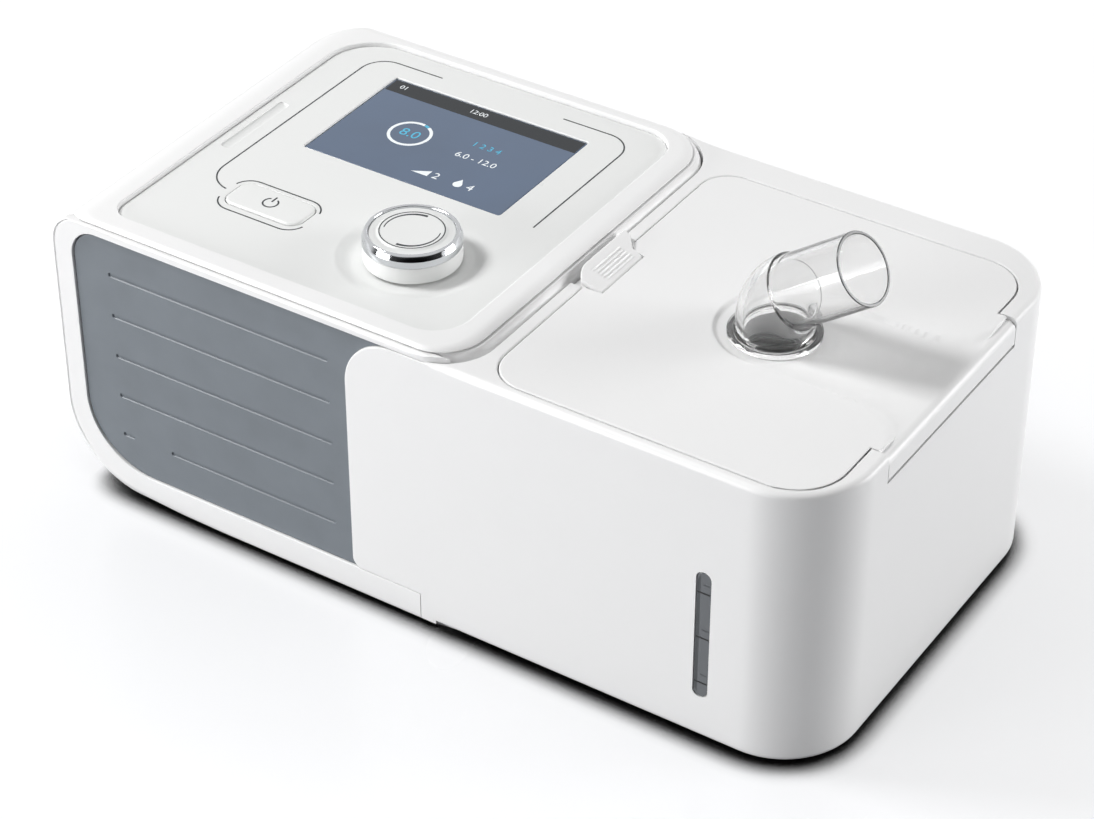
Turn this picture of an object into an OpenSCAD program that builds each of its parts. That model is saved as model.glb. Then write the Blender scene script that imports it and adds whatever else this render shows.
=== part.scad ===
// Bedside breathing-pressure machine with a docked heated humidifier.
// Millimetres. X runs from the main unit (left) to the humidifier (right), Y to the back, Z up.
// The origin is at the middle of the footprint, on the table.

/* [Whole machine] */
// Overall width, left face to right face
machine_w = 271; // [266:0.5:290]
// Overall depth, front face to back face
machine_d = 145.6; // [143:0.2:156]
// Height of the humidifier's top above the table
humidifier_h = 97.8; // [96:0.2:105]
// Height of the main unit's rim above the humidifier's top
rim_rise = 3.5; // [3:0.1:5]
// Width of the main unit, from its left face to its right wall
main_w = 153.2; // [151:0.2:157]
// Gap between the docked humidifier and the main unit
dock_gap = 0.4; // [0.3:0.05:0.6]
// Thickness of the moulded walls
wall = 2.4; // [2:0.1:2.8]
// Height of the rubber feet that shows below the main unit
foot_h = 1; // [0.8:0.1:2]
// Diameter of the rubber feet
foot_d = 12; // [8:0.5:16]

/* [Main unit casing] */
// Radius of the upper left corner, seen from the front
top_left_r = 16; // [13:0.5:19]
// Radius of the lower left corner, seen from the front
bottom_left_r = 30; // [22:1:34]
// Radius of the top edges at the back and at the right
top_edge_r = 6.5; // [4:0.5:7]
// Radius of the two back corners, seen from above
back_r = 20; // [14:1:23]
// Radius of the front right corner, seen from above
front_r = 16; // [12:1:19]
// Height of the parting line below the rim's top
rim_h = 1.7; // [1.5:0.1:2]
// Depth of the front frame
frame_t = 3.3; // [3:0.1:4]
// Width of the front frame's left side
frame_side = 10.5; // [9:0.5:13]
// Height of the front frame's lower bar above the casing's bottom
frame_bar = 10; // [8:0.5:12]
// Height of the front frame's upper bar
frame_top = 2.4; // [2:0.1:2.8]
// Depth at which the grey front panel lies behind the frame
panel_inset = 0.8; // [0.5:0.1:1.2]
// Width of the humidifier's front that laps over the main unit, left of the main unit's right wall
lap_w = 41.5; // [36:0.5:50]
// Width of the grooves in the front panel
groove_w = 0.7; // [0.5:0.1:1]
// Spacing of the grooves in the front panel
groove_pitch = 14.9; // [13.5:0.1:15.4]

/* [Control panel] */
// Distance from the machine's left side to the control panel plate
plate_side = 19.4; // [19.2:0.1:21]
// Distance from the front and the back to the control panel plate
plate_margin = 8.35; // [8.3:0.05:10]
// Thickness of the control panel plate
plate_t = 2.2; // [2:0.1:2.6]
// Depth of the control panel plate below the rim's top
plate_drop = 1.4; // [1:0.1:1.6]
// Width of the display window
screen_w = 72.6; // [68:0.2:76]
// Depth of the display window
screen_d = 49.6; // [46:0.2:52]
// Width of the start button
button_w = 28; // [24:0.5:30]
// Depth of the start button
button_d = 13; // [11:0.5:14]
// Travel of the start button
button_travel = 1; // [0.6:0.1:1.2]
// Radius of the knob's skirt
knob_r = 14.9; // [13:0.1:16]
// Height of the knob
knob_h = 7.8; // [7:0.1:9]
// Push travel of the knob
knob_travel = 0.7; // [0.4:0.1:0.8]
// Radius of the shallow dish round the knob
dish_r = 23; // [20:0.5:24]
// Radius of the encoder's shaft
shaft_r = 3; // [2.8:0.1:3.2]

/* [Blower] */
// Radius of the blower housing
blower_r = 38; // [34:0.5:40]
// Height of the blower housing's lower half
blower_h = 24; // [23:0.5:27]
// Gap between the impeller and the housing's wall
impeller_gap = 2.5; // [1.5:0.1:4]
// Number of impeller blades
blade_count = 9; // [7:1:11]
// Radius of the motor
motor_r = 17; // [14:0.5:20]
// Bore radius of the air duct
duct_r = 8.2; // [7:0.1:8.4]

/* [Humidifier] */
// Radius of the two right corners, seen from above
right_r = 25; // [20:1:28]
// Width of the shell's top border at the left of the lid
border_left = 3.8; // [3.6:0.1:4.4]
// Width of the shell's top border at the front of the lid
border_front = 3.4; // [3:0.1:5]
// Width of the shell's top border at the back of the lid
border_back = 12.5; // [11:0.5:14]
// Width of the shell's top border at the right of the lid
border_right = 5.7; // [5.5:0.1:6.5]
// Gap round the lid
lid_gap = 0.35; // [0.3:0.05:0.5]
// Thickness of the lid
lid_t = 2.4; // [2.2:0.1:2.6]
// Width of the lid's hinge flap along the right edge
flap_w = 77; // [70:1:80]
// Depth of the hinge flap below the lid's top
flap_h = 8.7; // [8:0.1:9]
// Radius of the flap's upper edge, which turns about the hinge pin
hinge_edge_r = 3; // [2.8:0.1:3.2]
// Radius of the hinge pin
hinge_pin_r = 1.3; // [1.1:0.1:1.4]
// Width of the water window
window_w = 4.8; // [4:0.2:8]
// Height of the water window's lower end above the table
window_z = 17; // [14:0.5:20]
// Height of the water window
window_h = 45.3; // [36:0.1:46]
// Height of the tank's lid
tank_lid_h = 24.3; // [22:0.1:29]
// Wall thickness of the water tank
tank_wall = 2; // [1.6:0.1:2.4]
// Width of the ribbed latch, along Y
latch_w = 28.4; // [27:0.2:32]
// Rise of the latch's finger edge above the lid
latch_rise = 3.1; // [2.6:0.1:3.4]

/* [Outlet elbow] */
// Outer radius of the outlet tube: the 22 mm conical breathing connector
outlet_r = 11; // [11:0.1:11.5]
// Wall thickness of the outlet tube
outlet_wall = 1.8; // [1.4:0.1:2]
// Length of the straight outlet tube
outlet_l = 26; // [22:0.5:30]
// Bend angle of the elbow
bend_angle = 54; // [45:1:80]
// Bend radius of the elbow, to the tube's middle line
bend_r = 13.8; // [12.5:0.1:16]
// Radius of the elbow's base flange
flange_r = 13.9; // [13.5:0.1:15]

/* [Hidden] */
$fn = 64;

white_abs = [0.93, 0.93, 0.93];
slate = [0.44, 0.47, 0.49];
steel = [0.7, 0.71, 0.73];
clear = [0.85, 0.9, 0.93, 0.4];
rubber = [0.2, 0.2, 0.21];
fit = 0.15;      // gap round pieces that stay put
slip = 0.3;      // gap round pieces that move
seat = 0.1;      // gap between a piece and the face that carries it
run = 0.05;      // radial clearance of a shaft in its bore

// Faces of the casing
x_left = -machine_w / 2;
x_right = machine_w / 2;
x_split = x_left + main_w;
y_front = -machine_d / 2;
y_back = machine_d / 2;
top_z = humidifier_h + rim_rise;
parting_z = top_z - rim_h;
case_y = y_front + frame_t + seat;
floor_z = foot_h + wall;
shell_x = x_split + dock_gap;
shell_z = foot_h + 0.9;
shell_in_x = shell_x + wall;

// Opening of the front frame, which the grey panel and the humidifier's front share
open_x = x_left + frame_side;
open_z0 = foot_h + frame_bar;
open_z1 = parting_z - frame_top;
open_r_low = 24;
open_r_high = 10;
lap_x = x_split - lap_w;
lap_r_top = 17.5;
lap_r_low = 3.5;
lap_foot_x = x_split - 17;

// Control panel plate and what it carries
plate_x = x_left + plate_side;
plate_w = main_w - plate_side - 11;
plate_d = machine_d - 2 * plate_margin;
plate_y = -plate_d / 2;
plate_z = top_z - plate_drop;
plate_floor = plate_z - plate_t - seat;
deck_t = 2;
deck_z = plate_floor - deck_t;
screen_x = plate_x + 61.8;
screen_y = 24.1;
module_w = screen_w + 7.4;
module_d = screen_d + 7.4;
module_t = 4;
button_x = plate_x + 37.2;
button_y = -33.5;
knob_x = plate_x + 89.2;
knob_y = -33;
board_t = 1.6;
board_z = deck_z - 10.6;
board_top = board_z + board_t;
board_w = 98;
board_d = 107;
board_x = plate_x + 13;
board_y = -52;
dish_t = 1.1;
dish_z = plate_z - dish_t;
knob_z = dish_z + knob_travel + seat;
cavity_r = shaft_r + 1.4;
bushing_r = shaft_r + 1.2;
panel_hole_r = bushing_r + 0.4;
cavity_z0 = board_top + 0.8;
cavity_z1 = board_top + 5;
shaft_z = cavity_z1 - 2.1;
ring_z = knob_z + knob_h * 0.6;

// Blower
blower_x = x_left + 57.5;
blower_y = -14;
blower_z = 34;
blower_wall = 2.5;
impeller_r = blower_r - blower_wall - impeller_gap;
impeller_z = blower_z + 4.5;
impeller_h = blower_h - 7;
duct_y = blower_y + blower_r - duct_r - 5;
duct_z = blower_z + blower_h / 2;
mount_r = blower_r + 5;
motor_z = 12;
duct_out = duct_r + 1.8;

// Rear openings
filter_x = x_left + 76;
filter_w = 46;
filter_z = 24;
filter_h = 36;
inlet_x = x_left + 42;
inlet_z = 24;

// Humidifier
lid_x0 = shell_x + border_left + lid_gap;
lid_x1 = x_right - border_right - lid_gap;
lid_y0 = y_front + border_front;
lid_y1 = y_back - border_back;
lid_under = humidifier_h - lid_t;
lid_front_r = 16;
lid_back_r = 14;
rebate_w = 1.9;
rebate_skin = 0.15;
recess_t = 1;
recess_z = humidifier_h - recess_t;
flap_t = 2.2;
flap_z = humidifier_h - flap_h;
flap_y0 = -1.5 - flap_w / 2;
flap_y1 = flap_y0 + flap_w;
hinge_x = x_right - hinge_edge_r;
hinge_z = recess_z - hinge_edge_r;
flap_swing = norm([hinge_edge_r, hinge_z - flap_z]);
border_swing = norm([border_right - hinge_edge_r, humidifier_h - hinge_z]);
ear_l = 6;
outlet_x = shell_x + 61.9;
outlet_y = -5.5;
recess_r = 21.5;
riser_x0 = shell_in_x + 0.3;
riser_x1 = riser_x0 + 10;
tank_x0 = riser_x1 + 3;
tank_x1 = x_right - wall - 8;
tank_y0 = y_front + wall + 6;
tank_y1 = y_back - wall - 12;
tank_top = humidifier_h - 12.5;
tank_rim_z = tank_top - tank_lid_h;
tank_z = shell_z + 12.6;
port_z = tank_top - 11.3;
port_r = 8.4;
base_boss_r = 4.5;
base_boss_in = base_boss_r - 0.3;
window_x = x_right - 37.8;

// Latch
latch_y0 = -16.4;
latch_y1 = latch_y0 + latch_w;
latch_x = lid_x0 + 4.2;
latch_x1 = latch_x + 2;
latch_z = humidifier_h - 2.2;
latch_boss_r = 2.1;
latch_pin_r = 1;
latch_edge = shell_x + 0.1;
hook_x = lid_x0 + 0.4;
hook_z0 = latch_z - 8.4;
hook_z1 = latch_z - 6.5;
keeper_x = hook_x + 1.3;

// Elbow
bend_z = recess_z + 5.3;
bore_r = outlet_r - outlet_wall;
bend_tube_r = outlet_r + 0.5;
clip_z = lid_under - 5.7;

// Power inlet, for a plug with a 5.5 mm barrel
jack_r = 2.85;
jack_mouth = 3.9;

// ---- Helpers ----

// Points of an arc round c from angle a0 to a1
function arc(c, r, a0, a1, n = 10) =
    [for (i = [0:n]) c + r * [cos(a0 + (a1 - a0) * i / n), sin(a0 + (a1 - a0) * i / n)]];

// Outline of a rectangle from p to q, with the radii r of its lower left, lower right, upper
// right and upper left corners
function round_rect(p, q, r) = concat(
    arc(p + [r[0], r[0]], r[0], 180, 270),
    arc([q.x - r[1], p.y + r[1]], r[1], 270, 360),
    arc(q - [r[2], r[2]], r[2], 0, 90),
    arc([p.x + r[3], q.y - r[3]], r[3], 90, 180));

// A radius after its wall is moved inwards by i
function inner_r(r, i) = max(r - i, 0.4);

// Upright prism on an outline
module prism(points, z0, z1) {
    translate([0, 0, z0])
        linear_extrude(z1 - z0)
            polygon(points);
}

// Prism on an outline drawn in the front view, from y0 to y1
module front_prism(points, y0, y1) {
    translate([0, y1, 0])
        rotate([90, 0, 0])
            linear_extrude(y1 - y0)
                polygon(points);
}

// Box between two corners
module box(p, q) {
    translate(p)
        cube(q - p);
}

// Round bar along X, from x0 to x1
module bar_x(x0, x1, y, z, r) {
    translate([x0, y, z])
        rotate([0, 90, 0])
            cylinder(h = x1 - x0, r = r);
}

// Round bar along Y, from y0 to y1
module bar_y(x, y0, y1, z, r) {
    translate([x, y1, z])
        rotate([90, 0, 0])
            cylinder(h = y1 - y0, r = r);
}

// Upright round bar
module bar_z(x, y, z0, z1, r) {
    translate([x, y, z0])
        cylinder(h = z1 - z0, r = r);
}

// Plan of the main unit, moved inwards by i
function main_plan(i) = round_rect([x_left + i, y_front + i], [x_split - i, y_back - i],
    [1.5, inner_r(front_r, i), inner_r(back_r, i), inner_r(back_r, i)]);

// Front view of the main unit, moved inwards by i
function main_front(i) = round_rect([x_left + i, foot_h + i], [x_split - i, top_z - i],
    [inner_r(bottom_left_r, i), 1.5, inner_r(top_edge_r, i), inner_r(top_left_r, i)]);

// Side view of the main unit, moved inwards by i
function main_side(i) = round_rect([y_front + i, foot_h + i], [y_back - i, top_z - i],
    [1.2, 2.5, inner_r(top_edge_r, i), inner_r(2.8, i)]);

// Block of the main unit, moved inwards by i
module main_block(i) {
    intersection() {
        prism(main_plan(i), 0, top_z);
        front_prism(main_front(i), y_front, y_back);
        translate([x_left, 0, 0])
            rotate([90, 0, 90])
                linear_extrude(main_w)
                    polygon(main_side(i));
    }
}

// Places the four board screws
module at_board_corners() {
    for (x = [board_x + 4, board_x + board_w - 4])
        for (y = [board_y + 4, board_y + board_d - 4])
            translate([x, y, 0])
                children();
}

// Places the three blower mounts
module at_blower_mounts() {
    for (a = [0, 120, 240])
        translate([blower_x + mount_r * cos(a), blower_y + mount_r * sin(a), 0])
            children();
}

// Places the main unit's four feet
module at_main_feet() {
    for (x = [x_left + bottom_left_r + foot_d / 2 + 3, x_split - foot_d / 2 - 8])
        for (y = [y_front + foot_d / 2 + 12, y_back - foot_d / 2 - 18])
            translate([x, y, 0])
                children();
}

// Places the humidifier's four feet
module at_humidifier_feet() {
    for (x = [shell_in_x + foot_d / 2 + 8, x_right - foot_d / 2 - 18])
        for (y = [y_front + foot_d / 2 + 14, y_back - foot_d / 2 - 18])
            translate([x, y, 0])
                children();
}

// Places the four screws of the humidifier's base, near the shell's corners
module at_base_corners() {
    corner_in = right_r - (right_r - wall - base_boss_in) * sqrt(0.5);
    for (s = [-1, 1]) {
        translate([shell_in_x + base_boss_in, s * (y_back - wall - base_boss_in), 0])
            children();
        translate([x_right - corner_in, s * (y_back - corner_in), 0])
            children();
    }
}

// ---- Main unit ----

// Open window in the top of the lower case, which the top cover's skirt fills
module case_mouth(i, z0, z1) {
    intersection() {
        prism(main_plan(wall + i), z0, z1);
        box([x_left + top_left_r - 4 + i, case_y + wall + i, z0], [x_split, y_back, z1]);
    }
}

module lower_case() {
    color(white_abs)
    difference() {
        union() {
            difference() {
                intersection() {
                    main_block(0);
                    box([x_left, case_y, 0], [x_split, y_back, parting_z]);
                }
                intersection() {
                    main_block(wall);
                    box([x_left, case_y + wall, 0], [x_split, y_back, top_z]);
                }
                case_mouth(0, deck_z - 3, top_z);
            }
            at_blower_mounts()
                bar_z(0, 0, floor_z - 0.5, blower_z - 8 - seat, 5.5);
            // walls of the filter box behind the rear wall
            difference() {
                box([filter_x - 2, y_back - 14, filter_z - 2],
                    [filter_x + filter_w + 2, y_back - wall + 0.5, filter_z + filter_h + 2]);
                box([filter_x, y_back - 15, filter_z],
                    [filter_x + filter_w, y_back, filter_z + filter_h]);
            }
        }
        // air outlet
        bar_x(x_split - wall - 1, x_split + 1, duct_y, duct_z, duct_out + 2 + fit);
        // rear openings
        box([filter_x, y_back - 15, filter_z],
            [filter_x + filter_w, y_back + 1, filter_z + filter_h]);
        box([inlet_x - 7 - fit, y_back - 8, inlet_z - 5.5 - fit],
            [inlet_x + 7 + fit, y_back + 1, inlet_z + 5.5 + fit]);
        at_main_feet()
            bar_z(0, 0, -1, foot_h + 0.6, foot_d / 2 + fit);
    }
}

module front_frame() {
    color(white_abs)
    difference() {
        intersection() {
            main_block(0);
            box([x_left, y_front, 0], [x_split, y_front + frame_t, parting_z]);
        }
        front_prism(round_rect([open_x, open_z0], [x_split + 5, open_z1],
            [open_r_low, 0.4, 0.4, open_r_high]), y_front - 1, y_front + frame_t + 1);
        box([lap_foot_x, y_front - 1, 0], [x_split + 1, y_front + frame_t + 1, open_z0 + 1]);
    }
}

// Outline of the humidifier's front where it laps over the main unit, moved outwards by i
function lap_outline(i) = round_rect([lap_x - i, open_z0 + fit - i],
    [x_split + 6, open_z1 - fit + i], [lap_r_low + i, 0.4, 0.4, lap_r_top + i]);

module front_panel() {
    color(slate)
    difference() {
        front_prism(round_rect([open_x + fit, open_z0 + fit],
            [lap_x + lap_r_top + 1, open_z1 - fit],
            [open_r_low - fit, 0.4, 0.4, open_r_high - fit]), y_front + panel_inset, y_front + frame_t);
        front_prism(lap_outline(fit), y_front, y_front + frame_t + 1);
        for (i = [0:4]) {
            z = open_z1 - 13.2 - i * groove_pitch;
            // the lowest groove is broken at its left
            x0 = i == 4 ? open_x + 32.3 : open_x + 13.3;
            box([x0, y_front, z - groove_w / 2],
                [lap_x - 6.6, y_front + panel_inset + 0.4, z + groove_w / 2]);
            if (i == 4)
                box([open_x + 13.3, y_front, z - groove_w / 2],
                    [open_x + 17.3, y_front + panel_inset + 0.4, z + groove_w / 2]);
        }
    }
}

module button_outline(i, z0, z1) {
    prism(round_rect([button_x - button_w / 2 - i, button_y - button_d / 2 - i],
        [button_x + button_w / 2 + i, button_y + button_d / 2 + i],
        [4 + i, 4 + i, 4 + i, 4 + i]), z0, z1);
}

function plate_outline(i) = round_rect([plate_x - i, plate_y - i],
    [plate_x + plate_w + i, plate_y + plate_d + i], [7 + i, 12 + i, 12 + i, 17 + i]);

module screen_box(i, z0, z1) {
    box([screen_x - screen_w / 2 - i, screen_y - screen_d / 2 - i, z0],
        [screen_x + screen_w / 2 + i, screen_y + screen_d / 2 + i, z1]);
}

module top_cover() {
    color(white_abs)
    difference() {
        union() {
            intersection() {
                main_block(0);
                box([x_left, y_front, parting_z + 0.05], [x_split, y_back, top_z]);
            }
            case_mouth(fit, deck_z, parting_z + 0.2);
            at_board_corners()
                bar_z(0, 0, board_top + seat, deck_z + 0.5, 3.5);
        }
        prism(plate_outline(fit), plate_floor, top_z + 1);
        box([screen_x - module_w / 2 - slip, screen_y - module_d / 2 - slip, deck_z - 1],
            [screen_x + module_w / 2 + slip, screen_y + module_d / 2 + slip, top_z]);
        button_outline(slip, deck_z - 1, top_z);
        bar_z(knob_x, knob_y, deck_z - 1, top_z, panel_hole_r);
        at_board_corners()
            bar_z(0, 0, board_top - 1, board_top + 7.5, 1.3);
    }
}

module control_panel() {
    color(white_abs)
    difference() {
        prism(plate_outline(0), plate_z - plate_t, plate_z);
        screen_box(fit, plate_z - plate_t - 1, plate_z + 1);
        button_outline(slip, plate_z - plate_t - 1, plate_z + 1);
        bar_z(knob_x, knob_y, plate_z - plate_t - 1, plate_z + 1, panel_hole_r);
        translate([knob_x, knob_y, dish_z])
            cylinder(h = dish_t + 0.01, r1 = dish_r - 4, r2 = dish_r);
        // shallow finger scoop near the left edge
        translate([plate_x + 5, -17, plate_z + 1.6])
            rotate([-90, 0, 0])
                cylinder(h = 36, r = 2.4);
    }
}

module display_lens() {
    color([0.1, 0.14, 0.22])
    screen_box(0, plate_floor + 0.05, plate_z - 0.4);
}

module display_module() {
    color([0.3, 0.32, 0.35])
    box([screen_x - module_w / 2, screen_y - module_d / 2, plate_floor - module_t],
        [screen_x + module_w / 2, screen_y + module_d / 2, plate_floor - 0.05]);
}

module start_button() {
    color(white_abs)
    union() {
        button_outline(0, deck_z - 1.5, plate_z + 0.6);
        button_outline(2, deck_z - 1.6, deck_z - 0.2);
        box([button_x - 3, button_y - 3, deck_z - 2], [button_x + 3, button_y + 3, deck_z - 1]);
    }
}

module start_switch() {
    color(rubber)
    union() {
        box([button_x - 6, button_y - 6, board_top + 0.05], [button_x + 6, button_y + 6, board_top + 4.5]);
        bar_z(button_x, button_y, board_top + 4, deck_z - 2 - button_travel - seat, 3);
    }
}

module knob() {
    color(white_abs)
    difference() {
        union() {
            bar_z(knob_x, knob_y, knob_z, ring_z, knob_r);
            bar_z(knob_x, knob_y, knob_z, knob_z + knob_h - 0.2, knob_r - 2);
        }
        bar_z(knob_x, knob_y, knob_z - 1, knob_z + 2, knob_r - 2.4);
        bar_z(knob_x, knob_y, knob_z - 1, knob_z + knob_h - 1.9, shaft_r + 0.02);
    }
}

module knob_ring() {
    color(steel)
    translate([knob_x, knob_y, ring_z + seat])
        rotate_extrude()
            polygon([[knob_r - 1.95, 0], [knob_r + 0.1, 0], [knob_r + 0.1, knob_h * 0.4 - 1],
                [knob_r - 0.8, knob_h * 0.4 - seat], [knob_r - 1.95, knob_h * 0.4 - seat]]);
}

module encoder_body() {
    color([0.35, 0.4, 0.36])
    difference() {
        union() {
            box([knob_x - 6.5, knob_y - 6.5, board_top + 0.05],
                [knob_x + 6.5, knob_y + 6.5, board_top + 5.8]);
            bar_z(knob_x, knob_y, board_top + 5, dish_z - 0.8, bushing_r);
        }
        bar_z(knob_x, knob_y, cavity_z0, cavity_z1, cavity_r);
        bar_z(knob_x, knob_y, cavity_z0, dish_z + 1, shaft_r + run);
    }
}

module encoder_plunger() {
    color(steel)
    bar_z(knob_x, knob_y, cavity_z0 + knob_travel + seat, shaft_z - 0.05, cavity_r - slip);
}

module encoder_shaft() {
    color(steel)
    union() {
        bar_z(knob_x, knob_y, shaft_z, knob_z + knob_h - 2, shaft_r);
        bar_z(knob_x, knob_y, shaft_z, cavity_z1 - 0.2, cavity_r - slip);
    }
}

module main_board() {
    color([0.1, 0.4, 0.22])
    difference() {
        union() {
            box([board_x, board_y, board_z], [board_x + board_w, board_y + board_d, board_top]);
            // components on the underside
            for (i = [0:4])
                box([board_x + 12 + i * 16, board_y + 40, board_z - 2.5],
                    [board_x + 22 + i * 16, board_y + 52 + i * 3, board_z + 0.2]);
        }
        at_board_corners()
            bar_z(0, 0, board_z - 1, board_top + 1, 1.7);
    }
}

module board_screws() {
    color(steel)
    at_board_corners()
        union() {
            bar_z(0, 0, board_z - 1.9, board_z - 0.05, 2.8);
            bar_z(0, 0, board_z - 1, board_top + 6.5, 1.25);
        }
}

module blower_lower() {
    x1 = blower_x + blower_r + 5;
    color([0.86, 0.87, 0.88])
    difference() {
        union() {
            bar_z(blower_x, blower_y, blower_z, blower_z + blower_h, blower_r);
            box([blower_x + 20, duct_y - duct_out - 0.6, duct_z - duct_out + 0.4],
                [x1, duct_y + duct_out - 0.7, duct_z + duct_out + 0.6]);
            bar_x(x1 - 1, blower_x + blower_r + 20, duct_y, duct_z, duct_out - 0.1);
            at_blower_mounts()
                bar_z(0, 0, blower_z, blower_z + 3, 7);
        }
        bar_z(blower_x, blower_y, blower_z + 2.5, blower_z + blower_h + 1, blower_r - blower_wall);
        box([blower_x + 15, duct_y - duct_r + 0.4, duct_z - duct_r + 0.3],
            [x1 - 2, duct_y + duct_r - 0.5, duct_z + duct_r - 0.4]);
        bar_x(x1 - 3, blower_x + blower_r + 21, duct_y, duct_z, duct_r);
        bar_z(blower_x, blower_y, blower_z - 1, blower_z + 4, 3);
        at_blower_mounts()
            bar_z(0, 0, blower_z - 1, blower_z + 4, 2.2);
    }
}

module blower_upper() {
    color([0.86, 0.87, 0.88])
    difference() {
        union() {
            bar_z(blower_x, blower_y, blower_z + blower_h + 0.05, blower_z + blower_h + 2.5, blower_r);
            bar_z(blower_x, blower_y, blower_z + blower_h - 1.2, blower_z + blower_h + 1,
                blower_r - blower_wall - fit);
            bar_z(blower_x, blower_y, blower_z + blower_h + 1, blower_z + blower_h + 6, 17);
        }
        bar_z(blower_x, blower_y, blower_z, blower_z + blower_h + 7, 15);
    }
}

module impeller() {
    color([0.3, 0.45, 0.6])
    translate([blower_x, blower_y, impeller_z])
        difference() {
            union() {
                cylinder(h = 2, r = impeller_r);
                cylinder(h = impeller_h - 2, r = 6);
                for (i = [0:blade_count - 1])
                    rotate([0, 0, i * 360 / blade_count])
                        translate([5, -0.7, 1])
                            rotate([0, 0, -25])
                                cube([impeller_r - 7, 1.4, impeller_h - 1]);
            }
            translate([0, 0, -1])
                cylinder(h = impeller_h + 2, r = 1.52);
        }
}

module rotor_shaft() {
    color(steel)
    bar_z(blower_x, blower_y, motor_z + 2, impeller_z + impeller_h - 5.5, 1.5);
}

module motor() {
    color(steel)
    difference() {
        bar_z(blower_x, blower_y, motor_z, blower_z - seat, motor_r);
        bar_z(blower_x, blower_y, motor_z + 1.5, blower_z + 1, 1.5 + run);
    }
}

module blower_mounts() {
    color(rubber)
    at_blower_mounts()
        union() {
            bar_z(0, 0, blower_z - 8, blower_z - seat, 5);
            bar_z(0, 0, blower_z - 1, blower_z + 4, 2);
            bar_z(0, 0, blower_z + 3 + seat, blower_z + 4.6, 3.2);
        }
}

module air_duct() {
    color([0.86, 0.87, 0.88])
    difference() {
        bar_x(blower_x + blower_r + 12, x_split - 0.2, duct_y, duct_z, duct_out + 2);
        bar_x(blower_x + blower_r + 11, x_split + 1, duct_y, duct_z, duct_out + 0.1);
    }
}

module duct_seal() {
    color(rubber)
    difference() {
        bar_x(x_split + seat, riser_x0 - seat, duct_y, duct_z, duct_out + 2);
        bar_x(x_split, riser_x0 + 1, duct_y, duct_z, duct_r);
    }
}

module muffler_foam() {
    color([0.3, 0.3, 0.32])
    box([filter_x, y_back - 33, floor_z + 0.3], [filter_x + filter_w, y_back - 14.5, filter_z + filter_h]);
}

module intake_filter() {
    color([0.95, 0.95, 0.9])
    box([filter_x + 0.4, y_back - 13, filter_z + 0.3],
        [filter_x + filter_w - 0.4, y_back - 4, filter_z + filter_h - 0.4]);
}

module filter_cover() {
    color(white_abs)
    difference() {
        box([filter_x + fit, y_back - 3.4, filter_z + fit],
            [filter_x + filter_w - fit, y_back - 0.2, filter_z + filter_h - fit]);
        for (i = [0:6])
            box([filter_x + 5, y_back - 4, filter_z + 4.5 + i * 4.2],
                [filter_x + filter_w - 5, y_back, filter_z + 6.3 + i * 4.2]);
    }
}

module power_inlet() {
    color(rubber)
    union() {
        difference() {
            box([inlet_x - 7, y_back - 13, inlet_z - 5.5], [inlet_x + 7, y_back - 0.3, inlet_z + 5.5]);
            bar_y(inlet_x, y_back - 5, y_back + 1, inlet_z, jack_r);
            bar_y(inlet_x, y_back - 10, y_back - jack_mouth - 0.3, inlet_z, jack_r + 0.6);
        }
        bar_y(inlet_x, y_back - 11, y_back - jack_mouth - 0.9, inlet_z, 1.2);
    }
}

module main_feet() {
    color(rubber)
    at_main_feet()
        bar_z(0, 0, 0, foot_h + 0.5, foot_d / 2);
}

// ---- Humidifier ----

function shell_plan(i) = round_rect([shell_x + i, y_front + i], [x_right - i, y_back - i],
    [3, inner_r(right_r, i), inner_r(right_r, i), 3]);

function lid_outline(i) = round_rect([lid_x0 - i, lid_y0 - i], [lid_x1 + i, lid_y1 + i],
    [12 + i, lid_front_r + i, lid_back_r + i, 10 + i]);

module humidifier_shell() {
    color(white_abs)
    difference() {
        union() {
            difference() {
                shell_body();
                prism(shell_plan(wall), shell_z - 1, lid_under - 2);
                lid_opening();
            }
            shell_details();
        }
        // pocket in which the hinge flap swings
        box([hinge_x - flap_swing - slip, flap_y0 - lid_gap, hinge_z - flap_swing - 0.25],
            [x_right + 1, flap_y1 + lid_gap, humidifier_h + 1]);
        bar_y(hinge_x, flap_y0 - ear_l, flap_y1 + ear_l, hinge_z, hinge_pin_r + 0.02);
        // relief under the latch's finger edge
        box([shell_x - 1, latch_y0 - 0.6, humidifier_h - 1.6],
            [lid_x0, latch_y1 + 0.6, humidifier_h + 1]);
        // air inlet from the main unit
        bar_x(shell_x - 1, shell_in_x + 1, duct_y, duct_z, duct_out + 2 + slip);
        front_prism(window_outline(fit), y_front - 1, y_front + wall + 1);
        // ledge along the outer back and right edge
        difference() {
            union() {
                box([x_split - 40, y_back - 4.8, recess_z], [x_right + 1, y_back + 1, humidifier_h + 1]);
                box([x_right - 3, flap_y1, recess_z], [x_right + 1, y_back, humidifier_h + 1]);
            }
            prism(round_rect([x_left, y_front], [x_right - 3, y_back - 4.8],
                [1, 1, 1, 1]), 0, humidifier_h + 2);
        }
    }
}

// Solid outer body of the humidifier
module shell_body() {
    difference() {
        // it closes round the main unit's two right corners
        prism(round_rect([x_split - max(front_r, back_r), y_front], [x_right, y_back],
            [0.4, right_r, right_r, 0.4]), shell_z, humidifier_h);
        prism(round_rect([x_left, y_front - dock_gap], [shell_x, y_back + dock_gap],
            [1, front_r + dock_gap, back_r + dock_gap, 1]), 0, top_z);
    }
    // the front that laps over the main unit
    front_prism(lap_outline(0), y_front, y_front + frame_t - 0.3);
    box([lap_foot_x + 0.3, y_front, shell_z], [shell_x + 4, y_front + frame_t - 0.3, 50]);
}

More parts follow.
